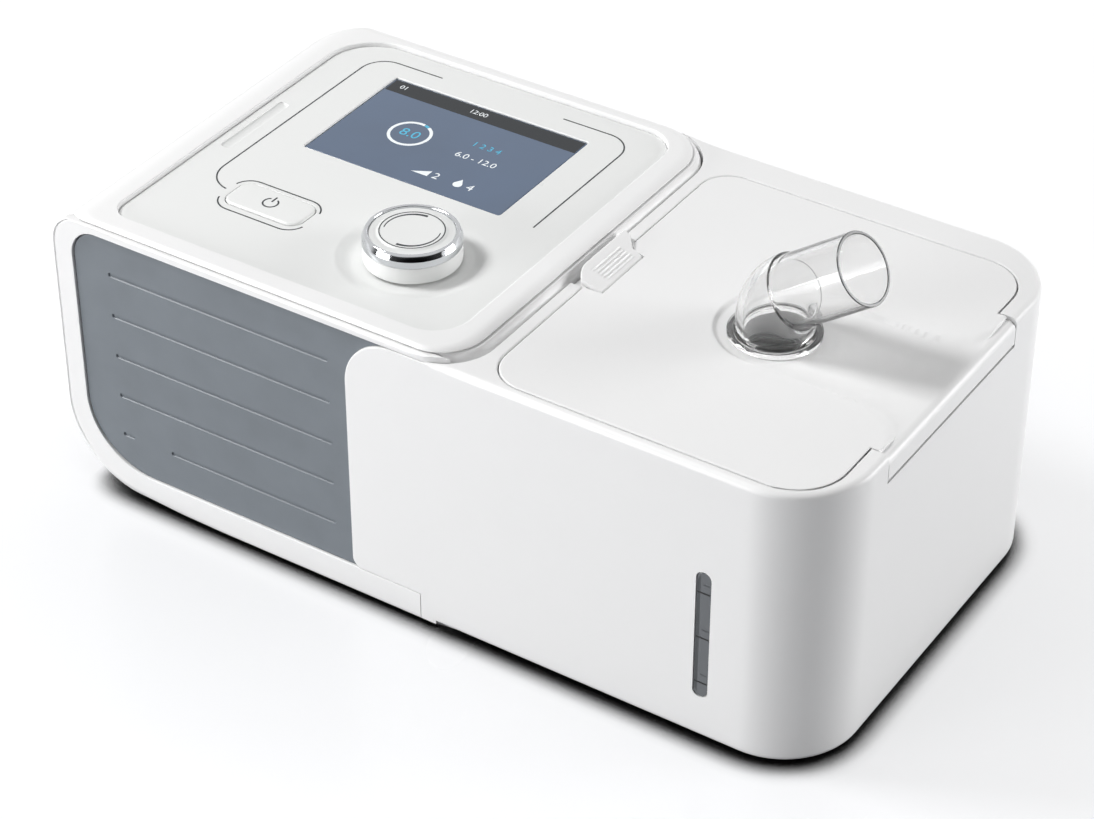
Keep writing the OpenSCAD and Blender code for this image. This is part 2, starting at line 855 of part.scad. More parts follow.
// Opening under the lid, with the ledge that carries the lid at the left, front and back
module lid_opening() {
    prism(lid_outline(lid_gap), lid_under - seat, humidifier_h + 1);
    prism(lid_outline(-2.5), 0, humidifier_h);
    intersection() {
        prism(lid_outline(lid_gap), 0, humidifier_h);
        box([x_right - 16, y_front, 0], [x_right, y_back, humidifier_h]);
    }
    box([lid_x0 - lid_gap, latch_y0 - 4.6, 0], [lid_x0 + 8, latch_y1 + 4.6, humidifier_h]);
}

// Hinge ears, latch keeper and screw bosses of the shell
module shell_details() {
    for (y = [flap_y0 - ear_l - 1, flap_y1])
        box([x_right - border_right + 0.1, y, hinge_z - 3.2],
            [x_right - wall + 0.3, y + ear_l + 1, lid_under - 1.8]);
    box([shell_in_x - 0.2, latch_y0 + 3, hook_z1 + 0.4], [keeper_x, latch_y1 - 8, hook_z1 + 2.2]);
    difference() {
        at_base_corners()
            bar_z(0, 0, shell_z + wall + seat, tank_z - 0.8, base_boss_r);
        at_base_corners()
            bar_z(0, 0, shell_z, shell_z + 11, 1.3);
    }
}

function window_outline(i) = round_rect([window_x - window_w / 2 - i, window_z - i],
    [window_x + window_w / 2 + i, window_z + window_h + i],
    [window_w / 2 + i, window_w / 2 + i, window_w / 2 + i, window_w / 2 + i]);

module water_window() {
    color([0.45, 0.47, 0.5, 0.8])
    union() {
        front_prism(window_outline(0), y_front + 0.25, y_front + wall + 0.5);
        front_prism(window_outline(2), y_front + wall + seat, y_front + wall + 1.6);
    }
}

module humidifier_base() {
    color(white_abs)
    difference() {
        union() {
            prism(shell_plan(wall + fit), shell_z, shell_z + wall);
        }
        at_base_corners()
            bar_z(0, 0, 0, shell_z + wall + 1, 1.7);
        at_base_corners()
            bar_z(0, 0, 0, shell_z + 1.2, 3);
        at_humidifier_feet()
            bar_z(0, 0, -1, shell_z + 0.6, foot_d / 2 + fit);
    }
}

module base_screws() {
    color(steel)
    at_base_corners()
        union() {
            bar_z(0, 0, shell_z + 0.1, shell_z + 1.15, 2.8);
            bar_z(0, 0, shell_z + 0.5, shell_z + 10, 1.25);
        }
}

module tank_outline(i, z0, z1) {
    prism(round_rect([tank_x0 + i, tank_y0 + i], [tank_x1 - i, tank_y1 - i],
        [12 - i, 16 - i, 14 - i, 12 - i]), z0, z1);
}

module water_tank() {
    color(clear)
    difference() {
        tank_outline(0, tank_z, tank_rim_z);
        tank_outline(tank_wall, tank_z + 2, tank_rim_z + 1);
        tank_outline(8, tank_z - 1, tank_z + 3);
        tank_outline(7 - fit, tank_z - 1, tank_z + 1.1);
    }
}

module tank_base() {
    color(steel)
    tank_outline(7, tank_z, tank_z + 1);
}

module tank_gasket() {
    color([0.8, 0.82, 0.84])
    difference() {
        tank_outline(0, tank_rim_z + seat, tank_rim_z + 1.9);
        tank_outline(tank_wall, tank_rim_z, tank_rim_z + 2);
    }
}

module tank_lid() {
    color(clear)
    difference() {
        tank_outline(0, tank_rim_z + 2, tank_top);
        tank_outline(tank_wall, tank_rim_z + 1, tank_top - tank_wall);
        bar_x(tank_x0 - 1, tank_x0 + tank_wall + 1, duct_y, port_z, port_r);
        bar_z(outlet_x, outlet_y, tank_top - tank_wall - 1, tank_top + 1, outlet_r + 1);
    }
}

module heater_plate() {
    color([0.75, 0.76, 0.78])
    tank_outline(6, tank_z - 2.4, tank_z - 0.3);
}

module heater_insulation() {
    color([0.9, 0.88, 0.82])
    tank_outline(6, shell_z + wall + seat, tank_z - 2.6);
}

module air_riser() {
    color([0.86, 0.87, 0.88])
    difference() {
        box([riser_x0, duct_y - 13, duct_z - 14], [riser_x1, duct_y + 13, tank_top]);
        box([riser_x0 + 1.6, duct_y - 11.4, duct_z - 12.4], [riser_x1 - 1.6, duct_y + 11.4, tank_top - 1.6]);
        bar_x(riser_x0 - 1, riser_x0 + 3, duct_y, duct_z, duct_r);
        bar_x(riser_x1 - 3, riser_x1 + 1, duct_y, port_z, port_r);
    }
}

module inlet_seal() {
    color(rubber)
    difference() {
        bar_x(riser_x1 + seat, tank_x0 - 0.3, duct_y, port_z, port_r + 2.5);
        bar_x(riser_x1, tank_x0, duct_y, port_z, port_r);
    }
}

// ---- Lid, latch and elbow ----

// Outline of the latch seen from above, moved outwards by i
function latch_outline(i) = [[latch_edge - i, latch_y0 + 7.4], [latch_edge + 3, latch_y0 - i],
    [latch_x1 + i, latch_y0 - i], [latch_x1 + i, latch_y1 - 5.8 + i], [latch_x1 - 4, latch_y1 - 5 + i],
    [latch_x1 - 8, latch_y1 + i], [latch_edge - i, latch_y1 + i]];

module lid() {
    color(white_abs)
    difference() {
        union() {
            difference() {
                prism(lid_outline(0), lid_under, humidifier_h);
                // edge that swings past the shell's right border
                bar_y(hinge_x, y_front, flap_y0, hinge_z, border_swing + slip);
                bar_y(hinge_x, flap_y1, y_back, hinge_z, border_swing + slip);
                lid_corner_rebate(lid_y0 - 1, lid_y0 + lid_front_r + 1, -1);
                lid_corner_rebate(lid_y1 - lid_back_r - 1, lid_y1 + 1, 1);
            }
            // hinge flap: a plate, its round edge and the wall that hangs from it
            box([lid_x1 - 8, flap_y0, lid_under], [hinge_x, flap_y1, humidifier_h]);
            bar_y(hinge_x, flap_y0, flap_y1, hinge_z, hinge_edge_r);
            box([x_right - flap_t, flap_y0, flap_z], [x_right, flap_y1, hinge_z]);
            bar_z(outlet_x, outlet_y, lid_under - 4.4, lid_under + 0.5, outlet_r + 3.5);
            // ears of the latch pin
            for (y = [latch_y0 - 4, latch_y1 + 0.4])
                box([latch_x - 3, y, latch_z - 2.4], [latch_x + 4, y + 3.6, lid_under + 0.5]);
        }
        // recess round the elbow, which opens into the lower hinge flap
        bar_z(outlet_x, outlet_y, recess_z, humidifier_h + 1, recess_r);
        prism([[outlet_x, outlet_y - recess_r], [x_right - 13.5, outlet_y - recess_r],
            [x_right - 7, outlet_y - recess_r - 2.5], [x_right - 3.9, outlet_y - recess_r - 7],
            [x_right - 3.2, flap_y0 - 1], [x_right + 1, flap_y0 - 1], [x_right + 1, flap_y1 + 1],
            [x_right - 3.2, flap_y1 + 1], [x_right - 3.9, outlet_y + recess_r + 15],
            [x_right - 7, outlet_y + recess_r + 8], [x_right - 13.5, outlet_y + recess_r + 2],
            [outlet_x, outlet_y + recess_r]], recess_z, humidifier_h + 1);
        bar_z(outlet_x, outlet_y, lid_under - 6, humidifier_h + 1, outlet_r + 0.08);
        bar_y(hinge_x, flap_y0 - 1, flap_y1 + 1, hinge_z, hinge_pin_r + run);
        prism(latch_outline(0.4), lid_under - 1, humidifier_h + 1);
        bar_y(latch_x, latch_y0 - 3.2, latch_y1 + 3.2, latch_z, latch_pin_r + 0.02);
    }
}

// Rebate under a right corner of the lid, between y0 and y1, that swings past the shell's border
module lid_corner_rebate(y0, y1, side) {
    difference() {
        box([lid_x1 - lid_front_r - 6, y0, lid_under - 1], [lid_x1 + 1, y1, humidifier_h - rebate_skin]);
        translate([-rebate_w, side * slip, 0])
            prism(lid_outline(0), lid_under - 2, humidifier_h);
    }
}

module hinge_pin() {
    color(steel)
    bar_y(hinge_x, flap_y0 - ear_l + 0.4, flap_y1 + ear_l - 0.4, hinge_z, hinge_pin_r);
}

module latch() {
    pad_l = latch_x1 - latch_edge;
    color(white_abs)
    difference() {
        union() {
            intersection() {
                prism(latch_outline(0), hook_z0, humidifier_h + latch_rise + 2);
                union() {
                    // sloping finger pad with its ribs
                    front_prism([[latch_x1, humidifier_h - 0.1], [latch_edge, humidifier_h + latch_rise],
                        [latch_edge, humidifier_h + latch_rise - 1.7], [latch_x - 1, humidifier_h - 1.7],
                        [latch_x1, humidifier_h - 1.7]], latch_y0, latch_y1);
                    for (i = [0:4])
                        latch_rib(0.2 + i * 0.13, pad_l);
                    bar_y(latch_x, latch_y0, latch_y1, latch_z, latch_boss_r);
                }
            }
            // hook that reaches under the shell's keeper
            box([latch_x - 1, latch_y0 + 1, hook_z0], [latch_x + 1.2, latch_y1 - 8, latch_z]);
            box([hook_x, latch_y0 + 3, hook_z0], [latch_x + 1, latch_y1 - 8.5, hook_z1]);
        }
        bar_y(latch_x, latch_y0 - 1, latch_y1 + 1, latch_z, latch_pin_r + run);
        // room for the spring
        box([latch_x - 3.5, -4, latch_z - 5.5], [latch_x + 3.5, 4, latch_z + 1.7]);
    }
}

// Rib on the finger pad, at the share s of the pad's length
module latch_rib(s, pad_l) {
    front_prism([for (p = [[0, -0.3], [0.06, -0.3], [0.06, 0.45], [0, 0.45]])
        [latch_x1 - pad_l * (s + p[0]), humidifier_h + (latch_rise + 0.1) * (s + p[0]) - 0.1 + p[1]]],
        latch_y0 + 6, latch_y1 - 8);
}

module latch_pin() {
    color(steel)
    bar_y(latch_x, latch_y0 - 3, latch_y1 + 3, latch_z, latch_pin_r);
}

module latch_spring() {
    color(steel)
    difference() {
        union() {
            bar_y(latch_x, -3.5, 3.5, latch_z, latch_pin_r + 0.5);
            box([latch_x + 0.9, 2.8, latch_z - 1.4], [latch_x + 5, 3.4, latch_z - 0.8]);
        }
        bar_y(latch_x, -4, 4, latch_z, latch_pin_r + 0.1);
    }
}

// Places children at the start of the elbow's straight tube, with Z along the tube
module at_outlet() {
    translate([outlet_x + bend_r, outlet_y, bend_z])
        rotate([0, bend_angle, 0])
            translate([-bend_r, 0, 0])
                children();
}

// Bend of the elbow, as a solid bar of radius r
module elbow_bend(r) {
    translate([outlet_x + bend_r, outlet_y, bend_z])
        rotate([90, 0, 0])
            rotate([0, 0, 180 - bend_angle])
                rotate_extrude(angle = bend_angle)
                    translate([bend_r, 0])
                        circle(r = r);
}

module outlet_elbow() {
    color(clear)
    difference() {
        union() {
            bar_z(outlet_x, outlet_y, lid_under - 6.2, recess_z + 1, outlet_r);
            bar_z(outlet_x, outlet_y, recess_z + seat, recess_z + 1.6, flange_r);
            bar_z(outlet_x, outlet_y, recess_z + 0.8, bend_z + 0.5, bend_tube_r + 0.3);
            elbow_bend(bend_tube_r);
            at_outlet()
                translate([0, 0, -1])
                    cylinder(h = outlet_l + 1, r = outlet_r);
        }
        bar_z(outlet_x, outlet_y, lid_under - 8, bend_z + 0.5, bore_r - 0.1);
        elbow_bend(bore_r + 0.2);
        at_outlet()
            translate([0, 0, -0.6])
                cylinder(h = outlet_l + 2, r = bore_r);
        // groove of the clip
        difference() {
            bar_z(outlet_x, outlet_y, clip_z, clip_z + 1.2, outlet_r + 1);
            bar_z(outlet_x, outlet_y, clip_z - 1, clip_z + 2, outlet_r - 0.5);
        }
    }
}

module elbow_clip() {
    color(steel)
    difference() {
        bar_z(outlet_x, outlet_y, clip_z + 0.05, clip_z + 1.15, outlet_r + 2);
        bar_z(outlet_x, outlet_y, clip_z - 1, clip_z + 2, outlet_r - 0.45);
    }
}

module outlet_seal() {
    color(rubber)
    difference() {
        bar_z(outlet_x, outlet_y, tank_top + 0.3, lid_under - seat, outlet_r + 6);
        bar_z(outlet_x, outlet_y, tank_top, lid_under, outlet_r + 3.6);
    }
}

module humidifier_feet() {
    color(rubber)
    at_humidifier_feet()
        bar_z(0, 0, 0, shell_z + 0.5, foot_d / 2);
}

// ---- Assembly ----

lower_case();
front_frame();
front_panel();
top_cover();
control_panel();
display_lens();
display_module();
start_button();
start_switch();
knob();
knob_ring();
encoder_body();
encoder_plunger();
encoder_shaft();
main_board();
board_screws();
blower_lower();
blower_upper();
impeller();
rotor_shaft();
motor();
blower_mounts();
air_duct();
duct_seal();
muffler_foam();
intake_filter();
filter_cover();
power_inlet();
main_feet();
humidifier_shell();
humidifier_base();
base_screws();
water_window();
water_tank();
tank_base();
tank_gasket();
tank_lid();
heater_plate();
heater_insulation();
air_riser();
inlet_seal();
lid();
hinge_pin();
latch();
latch_pin();
latch_spring();
outlet_elbow();
elbow_clip();
outlet_seal();
humidifier_feet();
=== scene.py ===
import math

import bmesh
import bpy
import numpy as np
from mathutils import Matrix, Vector
from mathutils.geometry import delaunay_2d_cdt


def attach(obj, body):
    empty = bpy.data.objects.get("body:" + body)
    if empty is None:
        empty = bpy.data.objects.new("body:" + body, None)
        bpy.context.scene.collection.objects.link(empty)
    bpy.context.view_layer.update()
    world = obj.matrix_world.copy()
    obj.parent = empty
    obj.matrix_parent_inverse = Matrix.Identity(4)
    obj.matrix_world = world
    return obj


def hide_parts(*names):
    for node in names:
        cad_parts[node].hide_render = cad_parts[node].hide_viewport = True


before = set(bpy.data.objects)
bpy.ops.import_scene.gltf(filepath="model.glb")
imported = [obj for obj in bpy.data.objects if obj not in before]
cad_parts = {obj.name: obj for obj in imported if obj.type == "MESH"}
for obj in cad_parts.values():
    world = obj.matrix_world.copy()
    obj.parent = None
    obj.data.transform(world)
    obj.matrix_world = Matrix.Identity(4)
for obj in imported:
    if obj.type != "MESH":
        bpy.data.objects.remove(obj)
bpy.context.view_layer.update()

# ---- Studio ----
# A pale satin table top in a white studio. One soft lamp shines from high on the left, and two low
# ones from the front left and the back right, so the corner towards the camera is in half shade.


def linear(colour):
    """Linear RGBA of an sRGB hex colour: each channel is c / 12.92, or
    ((c + 0.055) / 1.055) ^ 2.4 above 0.04045."""
    channels = np.array([int(colour[i:i + 2], 16) / 255 for i in (1, 3, 5)])
    light = np.where(channels <= 0.04045, channels / 12.92, ((channels + 0.055) / 1.055) ** 2.4)
    return (*light.tolist(), 1.0)


def add_node(tree, kind, inputs=None, result=0, **properties):
    """Adds a node with its properties, sets each named input to a value or joins it to an output,
    and returns the node's output of that name or number."""
    made = tree.nodes.new(kind)
    for name, value in properties.items():
        setattr(made, name, value)
    for name, value in (inputs or {}).items():
        if isinstance(value, bpy.types.NodeSocket):
            tree.links.new(value, made.inputs[name])
        else:
            made.inputs[name].default_value = value
    return made.outputs[result] if made.outputs else None


def new_material(name):
    """An empty material and its node tree."""
    made = bpy.data.materials.new(name)
    made.use_nodes = True
    made.node_tree.nodes.clear()
    return made, made.node_tree


camera_data = bpy.data.cameras.new("camera")
camera_data.lens = 102.87
camera = bpy.data.objects.new("camera", camera_data)
camera.location = (0.4254, -0.6553, 0.6077)
camera.rotation_euler = [math.radians(a) for a in (53.72, 0, 33.07)]
bpy.context.collection.objects.link(camera)
bpy.context.scene.camera = camera

bpy.context.scene.view_settings.view_transform = "Standard"

world = bpy.data.worlds.new("studio")
bpy.context.scene.world = world
world.use_nodes = True
tree = world.node_tree
tree.nodes.clear()
# the walls are white all round, but dark up to shoulder height in front and quite dark in front on
# the right, and they light the object less than they show in glossy surfaces
toward = add_node(tree, "ShaderNodeTexCoord", result="Generated")
sector = add_node(tree, "ShaderNodeVectorMath", {0: toward, 1: (0.66, -0.75, -0.05)}, "Value",
                  operation="DOT_PRODUCT")
unlit = add_node(tree, "ShaderNodeMapRange", {
    "Value": sector, "From Min": 0.62, "From Max": 0.93, "To Min": 1.0, "To Max": 0.06,
}, interpolation_type="SMOOTHSTEP")
ahead = add_node(tree, "ShaderNodeVectorMath", {0: toward, 1: (0.5, -0.87, 0.0)}, "Value",
                 operation="DOT_PRODUCT")
ahead = add_node(tree, "ShaderNodeMapRange", {
    "Value": ahead, "From Min": -0.15, "From Max": 0.2}, interpolation_type="SMOOTHSTEP")
height = add_node(tree, "ShaderNodeSeparateXYZ", {0: toward}, "Z")
low = add_node(tree, "ShaderNodeMapRange", {
    "Value": height, "From Min": 0.30, "From Max": 0.48, "To Min": 0.95, "To Max": 0.0,
}, interpolation_type="SMOOTHSTEP")
skirting = add_node(tree, "ShaderNodeMath", {0: ahead, 1: low}, operation="MULTIPLY")
above = add_node(tree, "ShaderNodeMath", {0: 1.0, 1: skirting}, operation="SUBTRACT")
pale = add_node(tree, "ShaderNodeMath", {0: unlit, 1: above}, operation="MULTIPLY")
glossy = add_node(tree, "ShaderNodeLightPath", result="Is Glossy Ray")
share = add_node(tree, "ShaderNodeMapRange", {"Value": glossy, "To Min": 0.33, "To Max": 0.80})
walls = add_node(tree, "ShaderNodeMath", {0: pale, 1: share}, operation="MULTIPLY")
# what the camera sees straight or through the clear parts is plain white
seen = add_node(tree, "ShaderNodeLightPath", result="Is Camera Ray")
through = add_node(tree, "ShaderNodeLightPath", result="Is Transmission Ray")
straight = add_node(tree, "ShaderNodeMath", {0: seen, 1: through}, operation="MAXIMUM")
level = add_node(tree, "ShaderNodeMix", {"Factor": straight, "A": walls, "B": 1.0},
                 data_type="FLOAT")
sky = add_node(tree, "ShaderNodeBackground", {"Color": (1, 1, 1, 1), "Strength": level})
add_node(tree, "ShaderNodeOutputWorld", {"Surface": sky})


def soft_lamp(name, place, size, power):
    """A square lamp of that size in metres, aimed at the middle of the machine."""
    data = bpy.data.lights.new(name, "AREA")
    data.size = size
    data.energy = power
    lamp = bpy.data.objects.new(name, data)
    lamp.location = place
    aim = Vector((0, 0, 0.05)) - Vector(place)
    lamp.rotation_euler = aim.to_track_quat("-Z", "Y").to_euler()
    bpy.context.collection.objects.link(lamp)


soft_lamp("left_lamp", (-1.10, -0.40, 1.35), 0.45, 19.8)
soft_lamp("front_lamp", (-0.82, -1.34, 0.22), 0.8, 19.8)
soft_lamp("right_lamp", (1.29, 0.90, 0.38), 0.7, 15.8)

# satin laminate: a white plane with a weak, blurred reflection, a little uneven over 170 mm
laminate, tree = new_material("white_laminate")
where = add_node(tree, "ShaderNodeTexCoord", result="Object")
cloudy = add_node(tree, "ShaderNodeTexNoise", {"Vector": where, "Scale": 6.0})
rough = add_node(tree, "ShaderNodeMapRange", {"Value": cloudy, "To Min": 0.22, "To Max": 0.30})
# painted shadow: ambient occlusion darkens the table's colour to black in the gap under the
# machine, and a little close by
close = add_node(tree, "ShaderNodeAmbientOcclusion", {"Distance": 0.009}, "AO", samples=8)
close = add_node(tree, "ShaderNodeMapRange", {
    "Value": close, "From Min": 0.5, "From Max": 0.95}, interpolation_type="SMOOTHSTEP")
around = add_node(tree, "ShaderNodeAmbientOcclusion", {"Distance": 0.11}, "AO", samples=8)
around = add_node(tree, "ShaderNodeMapRange", {"Value": around, "From Min": 0.5, "To Min": 0.88})
shade = add_node(tree, "ShaderNodeMath", {0: close, 1: around}, operation="MULTIPLY")
pale = add_node(tree, "ShaderNodeVectorMath", {0: linear("#9c9da0")[:3], "Scale": shade},
                operation="SCALE")
sheen = add_node(tree, "ShaderNodeBsdfPrincipled", {"Base Color": pale, "Roughness": rough})
# the rest of its white shows only to the camera, in gloss and through the clear parts
seen = add_node(tree, "ShaderNodeLightPath", result="Is Camera Ray")
for ray in ("Is Glossy Ray", "Is Transmission Ray"):
    also = add_node(tree, "ShaderNodeLightPath", result=ray)
    seen = add_node(tree, "ShaderNodeMath", {0: seen, 1: also}, operation="MAXIMUM")
lift = add_node(tree, "ShaderNodeMath", {0: seen, 1: 0.67}, operation="MULTIPLY")
# painted shadow: the same occlusion darkens the white glow too
lift = add_node(tree, "ShaderNodeMath", {0: lift, 1: shade}, operation="MULTIPLY")
glow = add_node(tree, "ShaderNodeEmission", {"Strength": lift})
both = add_node(tree, "ShaderNodeAddShader", {0: sheen, 1: glow})
add_node(tree, "ShaderNodeOutputMaterial", {"Surface": both})

floor_mesh = bpy.data.meshes.new("table_top")
floor_mesh.from_pydata([(-6, -6, 0), (6, -6, 0), (6, 6, 0), (-6, 6, 0)], [], [(0, 1, 2, 3)])
floor_mesh.materials.append(laminate)
table_top = bpy.data.objects.new("table_top", floor_mesh)
bpy.context.collection.objects.link(table_top)

# ---- Lower case of the main unit ----
# Injection-moulded white ABS with a fine spark-eroded grain. It is one deep tub, rounded most at
# its left, and the top cover and the front frame close it.


def finish(name, colour, roughness, grain=0.6, relief=0.01, tone=0.02, mottle=14.0, **settings):
    """Material of one real finish. Over a noise as large as mottle in mm its linear colour darkens
    by up to four times tone, and its roughness moves by a twentieth. A noise of grain in mm raises
    it by relief in mm."""
    made, tree = new_material(name)
    where = add_node(tree, "ShaderNodeTexCoord", result="Object")
    wide = add_node(tree, "ShaderNodeTexNoise", {
        "Vector": where, "Scale": 1000 / mottle, "Detail": 3.0})
    fine = add_node(tree, "ShaderNodeTexNoise", {
        "Vector": where, "Scale": 1000 / grain, "Detail": 2.0})
    darker = tuple(c * (1 - tone * 4) for c in linear(colour)[:3]) + (1.0,)
    ramp = add_node(tree, "ShaderNodeValToRGB", {"Fac": wide})
    dark_stop, light_stop = ramp.node.color_ramp.elements
    dark_stop.position, light_stop.position = 0.25, 0.75
    dark_stop.color, light_stop.color = darker, linear(colour)
    rough = add_node(tree, "ShaderNodeMapRange", {
        "Value": wide, "To Min": roughness * 0.95, "To Max": roughness * 1.05})
    bump = add_node(tree, "ShaderNodeBump", {
        "Height": fine, "Distance": relief / 1000, "Strength": 1.0})
    shader = add_node(tree, "ShaderNodeBsdfPrincipled", {
        "Base Color": ramp, "Roughness": rough, "Normal": bump, **settings})
    add_node(tree, "ShaderNodeOutputMaterial", {"Surface": shader})
    return made


def closed(points):
    """The points with the first one once more at their end."""
    return np.vstack([points, points[:1]])


def rounded_rectangle(low, high, radii, steps=12):
    """Closed outline, anticlockwise from the lower left corner: each corner is its centre plus
    (rx cos a, ry sin a) over a quarter turn. A radius may be a pair (rx, ry)."""
    reach = np.array([np.broadcast_to(r, 2) for r in radii], float)
    corners = np.array([low, (high[0], low[1]), high, (low[0], high[1])], float)
    centres = corners + np.array([(1, 1), (-1, 1), (-1, -1), (1, -1)]) * reach
    turn = np.radians(np.linspace(0, 90, steps + 1) + np.array([[180], [270], [0], [90]]))
    quarter = np.stack([np.cos(turn), np.sin(turn)], -1)
    return closed((centres[:, None] + reach[:, None] * quarter).reshape(-1, 2))


def arc_points(x, y, radius, a0, a1, steps):
    """Arc: the centre plus the radius times (cos a, sin a), with its angles in degrees."""
    turn = np.radians(np.linspace(a0, a1, steps))
    return np.column_stack([x + radius * np.cos(turn), y + radius * np.sin(turn)])


def circle(x, y, radius, steps=96):
    """Closed circle, anticlockwise from +X."""
    return arc_points(x, y, radius, 0, 360, steps + 1)


def sheet(points):
    """Points of a grid and its quads: (i, j), (i + 1, j), (i + 1, j + 1), (i, j + 1)."""
    rows, columns = points.shape[:2]
    index = np.arange(rows * columns).reshape(rows, columns)
    quads = np.stack([index[:-1, :-1], index[1:, :-1], index[1:, 1:], index[:-1, 1:]], -1)
    return points.reshape(-1, 3), quads.reshape(-1, 4)


def rings(rows):
    """Sheet through outlines of equally many points, each given with its height."""
    return sheet(np.stack([np.column_stack([outline, np.full(len(outline), z)])
                           for outline, z in rows]))


def fan(ring):
    """Sheet from a closed ring of points to their mean."""
    return sheet(np.stack([ring, np.broadcast_to(ring[:-1].mean(axis=0), ring.shape)]))


def flat_face(outlines, height):
    """Level face at that height. It is cut into Delaunay triangles, and those whose middle lies
    inside an odd number of outlines are kept."""
    loops = [outline[:-1] for outline in outlines]
    starts = np.cumsum([0] + [len(loop) for loop in loops]).tolist()
    edges = [(start + k, start + (k + 1) % len(loop))
             for start, loop in zip(starts, loops) for k in range(len(loop))]
    found = delaunay_2d_cdt(list(map(Vector, np.vstack(loops).tolist())), edges, [], 0, 1e-7)
    points, triangles = np.array(found[0]), np.array(found[2])
    middle = points[triangles].mean(axis=1)
    inside = np.zeros(len(middle), bool)
    for outline in outlines:
        a, b = outline[:-1], outline[1:]
        spans = (a[:, 1] > middle[:, 1, None]) != (b[:, 1] > middle[:, 1, None])
        rise = np.where(b[:, 1] == a[:, 1], 1, b[:, 1] - a[:, 1])
        cross = a[:, 0] + (b[:, 0] - a[:, 0]) * (middle[:, 1, None] - a[:, 1]) / rise
        inside ^= (spans & (middle[:, 0, None] < cross)).sum(axis=1) % 2 == 1
    return np.column_stack([points, np.full(len(points), height)]), triangles[inside]


def solid(rows):
    """Closed sheets through outlines with their heights, with a level face at either end."""
    return [rings(rows), *(flat_face([outline], z) for outline, z in (rows[0], rows[-1]))]


def prism(outline, z0, z1):
    """Closed sheets of an upright prism."""
    return solid([(outline, z0), (outline, z1)])


def box(low, high):
    """Closed sheets of a box."""
    return prism(rounded_rectangle(low[:2], high[:2], [0.001] * 4, 1), low[2], high[2])


def along_x(x0, x1, y, z, radius):
    """Closed sheets of a round bar along X."""
    ring = circle(y, z, radius, 64)
    points = np.stack([np.column_stack([np.full(len(ring), x), ring]) for x in (x0, x1)])
    return [sheet(points), *map(fan, points)]


def weld(sheets):
    """One mesh in metres from sheets in millimetres: points that meet are joined, and faces point
    outwards."""
    starts = np.cumsum([0] + [len(points) for points, _ in sheets])
    faces = [row for start, (_, found) in zip(starts, sheets) for row in (found + start).tolist()]
    mesh = bpy.data.meshes.new("piece")
    mesh.from_pydata((np.vstack([points for points, _ in sheets]) / 1000).tolist(), [], faces)
    shape = bmesh.new()
    shape.from_mesh(mesh)
    bmesh.ops.remove_doubles(shape, verts=shape.verts, dist=3e-6)
    bmesh.ops.recalc_face_normals(shape, faces=shape.faces)
    shape.to_mesh(mesh)
    shape.free()
    return mesh


def carve(mesh, cuts=(), joins=()):
    """The mesh with the closed sheets in joins added and those in cuts taken away."""
    work = bpy.data.objects.new("work", mesh)
    bpy.context.collection.objects.link(work)
    tools = []
    for kind, group in (("UNION", joins), ("DIFFERENCE", cuts)):
        for sheets in group:
            tool = bpy.data.objects.new("tool", weld(sheets))
            bpy.context.collection.objects.link(tool)
            step = work.modifiers.new("step", "BOOLEAN")
            step.operation, step.solver, step.object = kind, "EXACT", tool
            tools.append(tool)
    depsgraph = bpy.context.evaluated_depsgraph_get()
    done = bpy.data.meshes.new_from_object(work.evaluated_get(depsgraph))
    for thing in [work, *tools]:
        bpy.data.objects.remove(thing)
    return done


def place_piece(name, mesh, material, body, stands_for=(), crease=35):
    """Links a finished mesh as a piece that rides on a body. Edges sharper than crease in degrees
    stay sharp, and broad faces keep their own normal up to a rounded edge."""
    mesh.name = name
    mesh.materials.clear()
    mesh.materials.append(material)
    mesh.polygons.foreach_set("use_smooth", np.ones(len(mesh.polygons), bool))
    mesh.set_sharp_from_angle(angle=math.radians(crease))
    made = bpy.data.objects.new(name, mesh)
    bpy.context.collection.objects.link(made)
    flat = made.modifiers.new("flat", "WEIGHTED_NORMAL")
    flat.keep_sharp = True
    if stands_for:
        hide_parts(*stands_for)
    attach(made, body)
    return made


# moulded ABS: an even, soft white with broad highlights, whose grain shows only from close by
white_abs = finish("moulded_white_abs", "#f4f4f4", 0.34, grain=0.9, relief=0.003, tone=0.0015)

left, right, front, back, foot, top = -135.5, 17.7, -72.8, 72.8, 1.0, 101.3
case_front, parting, wall = -69.4, 99.6, 2.4
# radii of the left side above and below, of the corners in plan, and of the other top edges
upper_r, lower_r, corner_r, back_r, edge_r = 16, 30, 16, 20, 6.5
upper_z, corner_x, corner_y = top - upper_r, right - corner_r, front + corner_r


def edge_inset(distance, radius, depth):
    """How far a wall of that depth, rounded by radius at a face, lies inwards at a distance from
    the face: depth + r - sqrt(r^2 - d^2), where r is what the radius keeps inside the depth."""
    kept = np.maximum(radius - depth, 0.3)
    d = np.clip(depth + kept - distance, 0, kept)
    return depth + kept - np.sqrt(kept ** 2 - d ** 2)


def case_outline(z, depth=0.0):
    """Plan of the lower case at a height, moved inwards by depth: the left wall follows 30 mm and
    16 mm arcs, the back and right walls small ones, and the corners keep their centres."""
    l = max(edge_inset(z - foot, lower_r, depth), edge_inset(top - z, upper_r, depth))
    r = max(edge_inset(z - foot, 1.5, depth), edge_inset(top - z, edge_r, depth))
    b = max(edge_inset(z - foot, 2.5, depth), edge_inset(top - z, edge_r, depth))
    behind = max(back_r - b, 5)
    plan = rounded_rectangle(
        (left + l, case_front + depth), (right - r, back - b),
        [1.6, 12, (max(back_r - r, 5), behind), (max(back_r - l, 5), behind)])
    # the second corner, at the front right, is cut short by the wall behind the frame
    radius = corner_r - r
    start = math.degrees(math.asin(max((case_front + depth - corner_y) / radius, -1)))
    plan[13:26] = arc_points(corner_x, corner_y, radius, start, 0, 13)
    return plan


